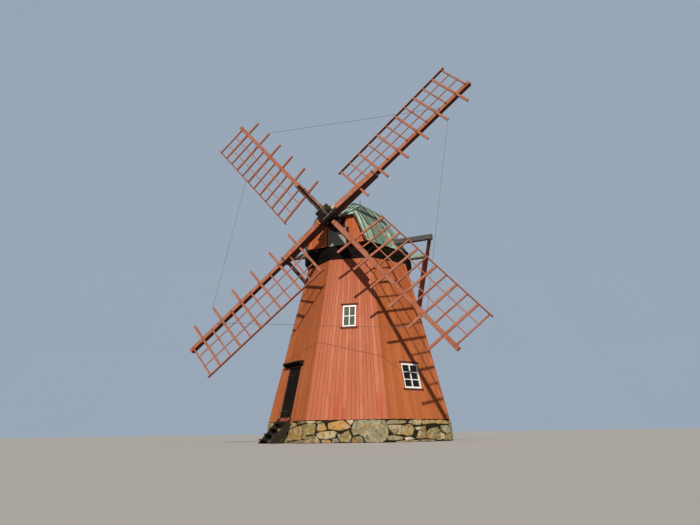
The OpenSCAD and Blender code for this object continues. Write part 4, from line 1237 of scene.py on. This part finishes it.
# %% Bands and straps
POLL, POLL_FRONT, POLL_BACK = 0.52, 0.33, 0.38
WHIP_FRONT, STOCK_BACK, STOCK_HALF = 0.05, -0.20, 2.25
CLAMP_HEAD, CLAMP_TIP = 0.16, 0.065
PLANK_FRONT = WHIP_FRONT + 0.022
BAND_THICK, BAND_WIDE = 0.012, 0.06
STRAP_THICK, STRAP_HALF, STRAP_REACH = 0.008, 0.02, 0.106
# radii of the straps by the turn of their sail, and the sails with tapered clamps
STRAPS = {0: (2.18,), 90: (0.62, 1.18, 1.72), 180: (2.18,)}
CLAMPED = (0, 180)


def rotor_side(turn):
    """Frame of one sail: x along its whip, z towards the front."""
    return ROTOR_PLACE @ Matrix.Rotation(math.radians(turn), 4, "Z")


def clamp_front(r):
    """How far a tapered clamp stands in front of the sails' plane at a radius."""
    return CLAMP_HEAD + (CLAMP_TIP - CLAMP_HEAD) * (r - POLL / 2) / (STOCK_HALF - POLL / 2)


irons = Boards()
for z in (POLL_FRONT - 0.085, -POLL_BACK + 0.03):
    for turn in range(0, 360, 90):
        irons.add(rotor_side(turn), (POLL / 2, -POLL / 2 - BAND_THICK, z),
                  (POLL / 2 + BAND_THICK, POLL / 2, z + BAND_WIDE), along=1)
for turn, radii in STRAPS.items():
    for r in radii:
        low = clamp_front(r) + 0.003 if turn in CLAMPED else PLANK_FRONT
        high, back = low + STRAP_THICK, STOCK_BACK - STRAP_THICK
        a, b = r - STRAP_HALF, r + STRAP_HALF
        irons.add(rotor_side(turn), (a, -STRAP_REACH, low), (b, STRAP_REACH, high), along=1)
        irons.add(rotor_side(turn), (a, -STRAP_REACH, back), (b, STRAP_REACH, STOCK_BACK - 0.0005), along=1)
        for side in (-1, 1):
            y = sorted((side * STRAP_REACH, side * (STRAP_REACH + STRAP_THICK)))
            irons.add(rotor_side(turn), (a, y[0], back), (b, y[1], high), along=2)
irons.finish("poll_bands", black_iron, "rotor", "iron", edge=0.002)

# %% [markdown]
# ## Bolts
# Long bolts run through the poll beside the stocks, with square plates and
# nuts that break its outline, and a small bolt holds each bar of a
# sail in its whip. A bolt is a cone whose two radii are the same.

# %% Bolts
BAR_FRONT = 0.023
BOLT_Y, BOLT_HEIGHTS = 0.185, (0.14, -0.20)
PLATE_TOP, NUT_TOP = 0.014, 0.044
CORNER_BOLT = 0.17


def rod(bm, a, b, radius, sides=8):
    """A round rod between two points of the rotor's frame."""
    a, b = Vector(a), Vector(b)
    place = (ROTOR_PLACE @ Matrix.Translation((a + b) / 2)
             @ (b - a).to_track_quat("Z", "Y").to_matrix().to_4x4())
    bmesh.ops.create_cone(bm, cap_ends=True, segments=sides, radius1=radius, radius2=radius,
                          depth=(b - a).length, matrix=place)


def whip_front(turn, r):
    """Front of what a bar's bolt goes through: the clamp, the plank, the bar or the whip."""
    if turn in CLAMPED:
        return clamp_front(r) if r < STOCK_HALF else BAR_FRONT
    return PLANK_FRONT if turn == 90 and r < STOCK_HALF else WHIP_FRONT


bolts = bmesh.new()
for turn in range(0, 360, 90):
    out = Matrix.Rotation(math.radians(turn), 3, "Z")
    for y in (-BOLT_Y, BOLT_Y):
        for z in BOLT_HEIGHTS:
            shank = 0.055 + 0.035 * dice.random()
            start, shank_end, plate, nut = (out @ Vector((POLL / 2 + reach, y, z))
                                            for reach in (-0.01, shank, PLATE_TOP, NUT_TOP))
            rod(bolts, start, shank_end, 0.014, 6)
            rod(bolts, start, plate, 0.040, 4)
            rod(bolts, plate, nut, 0.028, 6)
for x in (-CORNER_BOLT, CORNER_BOLT):
    for y in (-CORNER_BOLT, CORNER_BOLT):
        rod(bolts, (x, y, POLL_FRONT), (x, y, POLL_FRONT + 0.03), 0.026, 6)
rod(bolts, (0, 0, POLL_FRONT), (0, 0, POLL_FRONT + 0.02), 0.085, 24)
for turn in range(0, 360, 90):
    out = Matrix.Rotation(math.radians(turn), 3, "Z")
    for k in range(SAIL_BARS):
        r = SAIL_BAR_START - k * SAIL_BAR_SPACING
        top = whip_front(turn, r)
        rod(bolts, out @ Vector((r, 0, top - 0.01)), out @ Vector((r, 0, top + 0.012)), 0.016, 6)
add_turned_out("poll_bolts", bolts, black_iron, "rotor", "iron")

# %% [markdown]
# ## Brace rods, plank, wedge and keys
# A thin rod braces the upper left sail across the poll, over a dark plank on
# its stock. A pale wedge sits beside the upper right stock, and short keys of
# ochre wood lie across the lower two.

# %% Rods and wooden fittings
rods = bmesh.new()
rod(rods, (0.03, 1.09, 0.352), (0.03, -0.24, 0.352), 0.008)
rod(rods, (0.03, 1.07, PLANK_FRONT - 0.01), (0.03, 1.07, 0.37), 0.012)
rod(rods, (-0.22, -0.20, 0.343), (0.24, -0.20, 0.343), 0.009)
add_turned_out("brace_rods", rods, pale_iron, "rotor", "iron")

planks = Boards()
planks.add(rotor_side(90), (POLL / 2 + 0.03, -0.045, WHIP_FRONT + 0.0005), (2.05, 0.045, PLANK_FRONT),
           along=0)
planks.finish("stock_plank", skirt_tar, "rotor", "black_wood", edge=0.004)

wedges = Boards()
wedges.add(rotor_side(0), (POLL / 2 + 0.001, -0.115, CLAMP_HEAD + 0.001),
           (POLL / 2 + 0.16, 0.02, POLL_FRONT - 0.03), along=0)
wedge_wood = board_paint("pale_wedges", (0.56, 0.43, 0.27), (0.68, 0.56, 0.38), (0.30, 0.20, 0.11))
wedges.finish("stock_wedges", wedge_wood, "rotor", "bare_wood", edge=0.012)

KEY_FOOT = clamp_front(0.40)
keys = Boards()
keys.add(rotor_side(180), (0.375, -0.10, KEY_FOOT + 0.002), (0.43, 0.10, KEY_FOOT + 0.035), along=1)
keys.add(rotor_side(270), (0.365, -0.07, WHIP_FRONT + 0.0005), (0.42, 0.07, WHIP_FRONT + 0.035), along=1)
key_wood = board_paint("ochre_keys", (0.50, 0.20, 0.06), (0.60, 0.30, 0.12), (0.28, 0.09, 0.03))
keys.finish("stock_keys", key_wood, "rotor", "bare_wood", edge=0.006)

# %% [markdown]
# ## Floor and backdrop
# The studio is plain: a pale floor and a pale backdrop. A pale floor would
# throw its light up under the cap, where the real mill is dark,
# so floor and backdrop are seen by the camera but send no light back.

# %% Studio
FLOOR_RADIUS, BACKDROP_RADIUS = 400, 600


def studio_piece(name, bm, colour, glow=0.0):
    """A floor or a backdrop, which lights nothing itself."""
    mesh = bpy.data.meshes.new(name)
    bm.to_mesh(mesh)
    bm.free()
    thing = bpy.data.objects.new(name, mesh)
    bpy.context.scene.collection.objects.link(thing)
    f = Finish(name, Roughness=0.9, Emission_Strength=glow)
    f.surface.inputs["Base Color"].default_value = (*[c * (glow == 0) for c in colour], 1)
    f.surface.inputs["Emission Color"].default_value = (*colour, 1)
    mesh.materials.append(f.material)
    thing.visible_diffuse = False
    return thing


bm = bmesh.new()
bmesh.ops.create_circle(bm, cap_ends=True, radius=FLOOR_RADIUS, segments=64)
studio_piece("studio_floor", bm, (0.46, 0.46, 0.45))
bm = bmesh.new()
bmesh.ops.create_icosphere(bm, subdivisions=4, radius=BACKDROP_RADIUS)
backdrop = studio_piece("studio_backdrop", bm, (0.30, 0.37, 0.46), glow=1.0)
backdrop.visible_shadow = False
backdrop.visible_glossy = False
backdrop.visible_transmission = False
print("floor and backdrop are up")

# %% [markdown]
# ## Light
# One soft sun stands behind the camera, a little above it, and an even grey
# light fills the shadows. The sun's warm white is that of a clear afternoon.

# %% Sun and world
VIEW_TURN = math.radians(9.215)
SUN_STRENGTH, SUN_SIZE, FILL_STRENGTH = 4.0, math.radians(1.6), 0.31

world = bpy.data.worlds.new("studio_world")
world.use_nodes = True
world.node_tree.nodes["Background"].inputs["Color"].default_value = (0.66, 0.65, 0.68, 1)
world.node_tree.nodes["Background"].inputs["Strength"].default_value = FILL_STRENGTH
bpy.context.scene.world = world
bpy.context.scene.view_settings.view_transform = "Standard"

sun_ray = Matrix.Rotation(VIEW_TURN, 3, "Z") @ Vector((0.0, 0.857, -0.515))
light = bpy.data.lights.new("sun", "SUN")
light.energy = SUN_STRENGTH
light.color = (1.0, 0.94, 0.84)
light.angle = SUN_SIZE
sun = bpy.data.objects.new("sun", light)
sun.rotation_euler = sun_ray.to_track_quat("-Z", "Y").to_euler()
bpy.context.scene.collection.objects.link(sun)
print("the sun stands", round(math.degrees(math.asin(-sun_ray.z))), "degrees high")

# %% [markdown]
# ## Camera
# The camera stands low and looks up. Its place and angles come from a fit of
# the mill's corners to the photo, so its lens is given as a focal length in
# pixels and turned into millimetres here.

# %% Camera
PHOTO_WIDTH, SENSOR_WIDTH = 700, 36


def photo_camera(eye_height, distance, pitch, yaw, roll, focal):
    """Camera from the fitted angles, with its focal length in pixels of the photo."""
    forward = Vector((math.sin(yaw) * math.cos(pitch), math.cos(yaw) * math.cos(pitch), math.sin(pitch)))
    right = Vector((math.cos(yaw), -math.sin(yaw), 0))
    up = right.cross(forward)
    turned_right = math.cos(roll) * right + math.sin(roll) * up
    turned_up = -math.sin(roll) * right + math.cos(roll) * up
    place = Matrix((turned_right, turned_up, -forward)).transposed().to_4x4()
    place.translation = (0, -distance, eye_height)
    data = bpy.data.cameras.new("photo_camera")
    data.sensor_width = SENSOR_WIDTH
    data.lens = focal * SENSOR_WIDTH / PHOTO_WIDTH
    data.clip_end = 2000
    camera = bpy.data.objects.new("photo_camera", data)
    camera.matrix_world = Matrix.Rotation(VIEW_TURN, 4, "Z") @ place
    bpy.context.scene.collection.objects.link(camera)
    bpy.context.scene.camera = camera
    print("camera lens:", round(data.lens, 2), "mm")


photo_camera(eye_height=0.3, distance=20.892, pitch=math.radians(16.8), yaw=math.radians(-0.986),
             roll=math.radians(-0.84), focal=563.65)
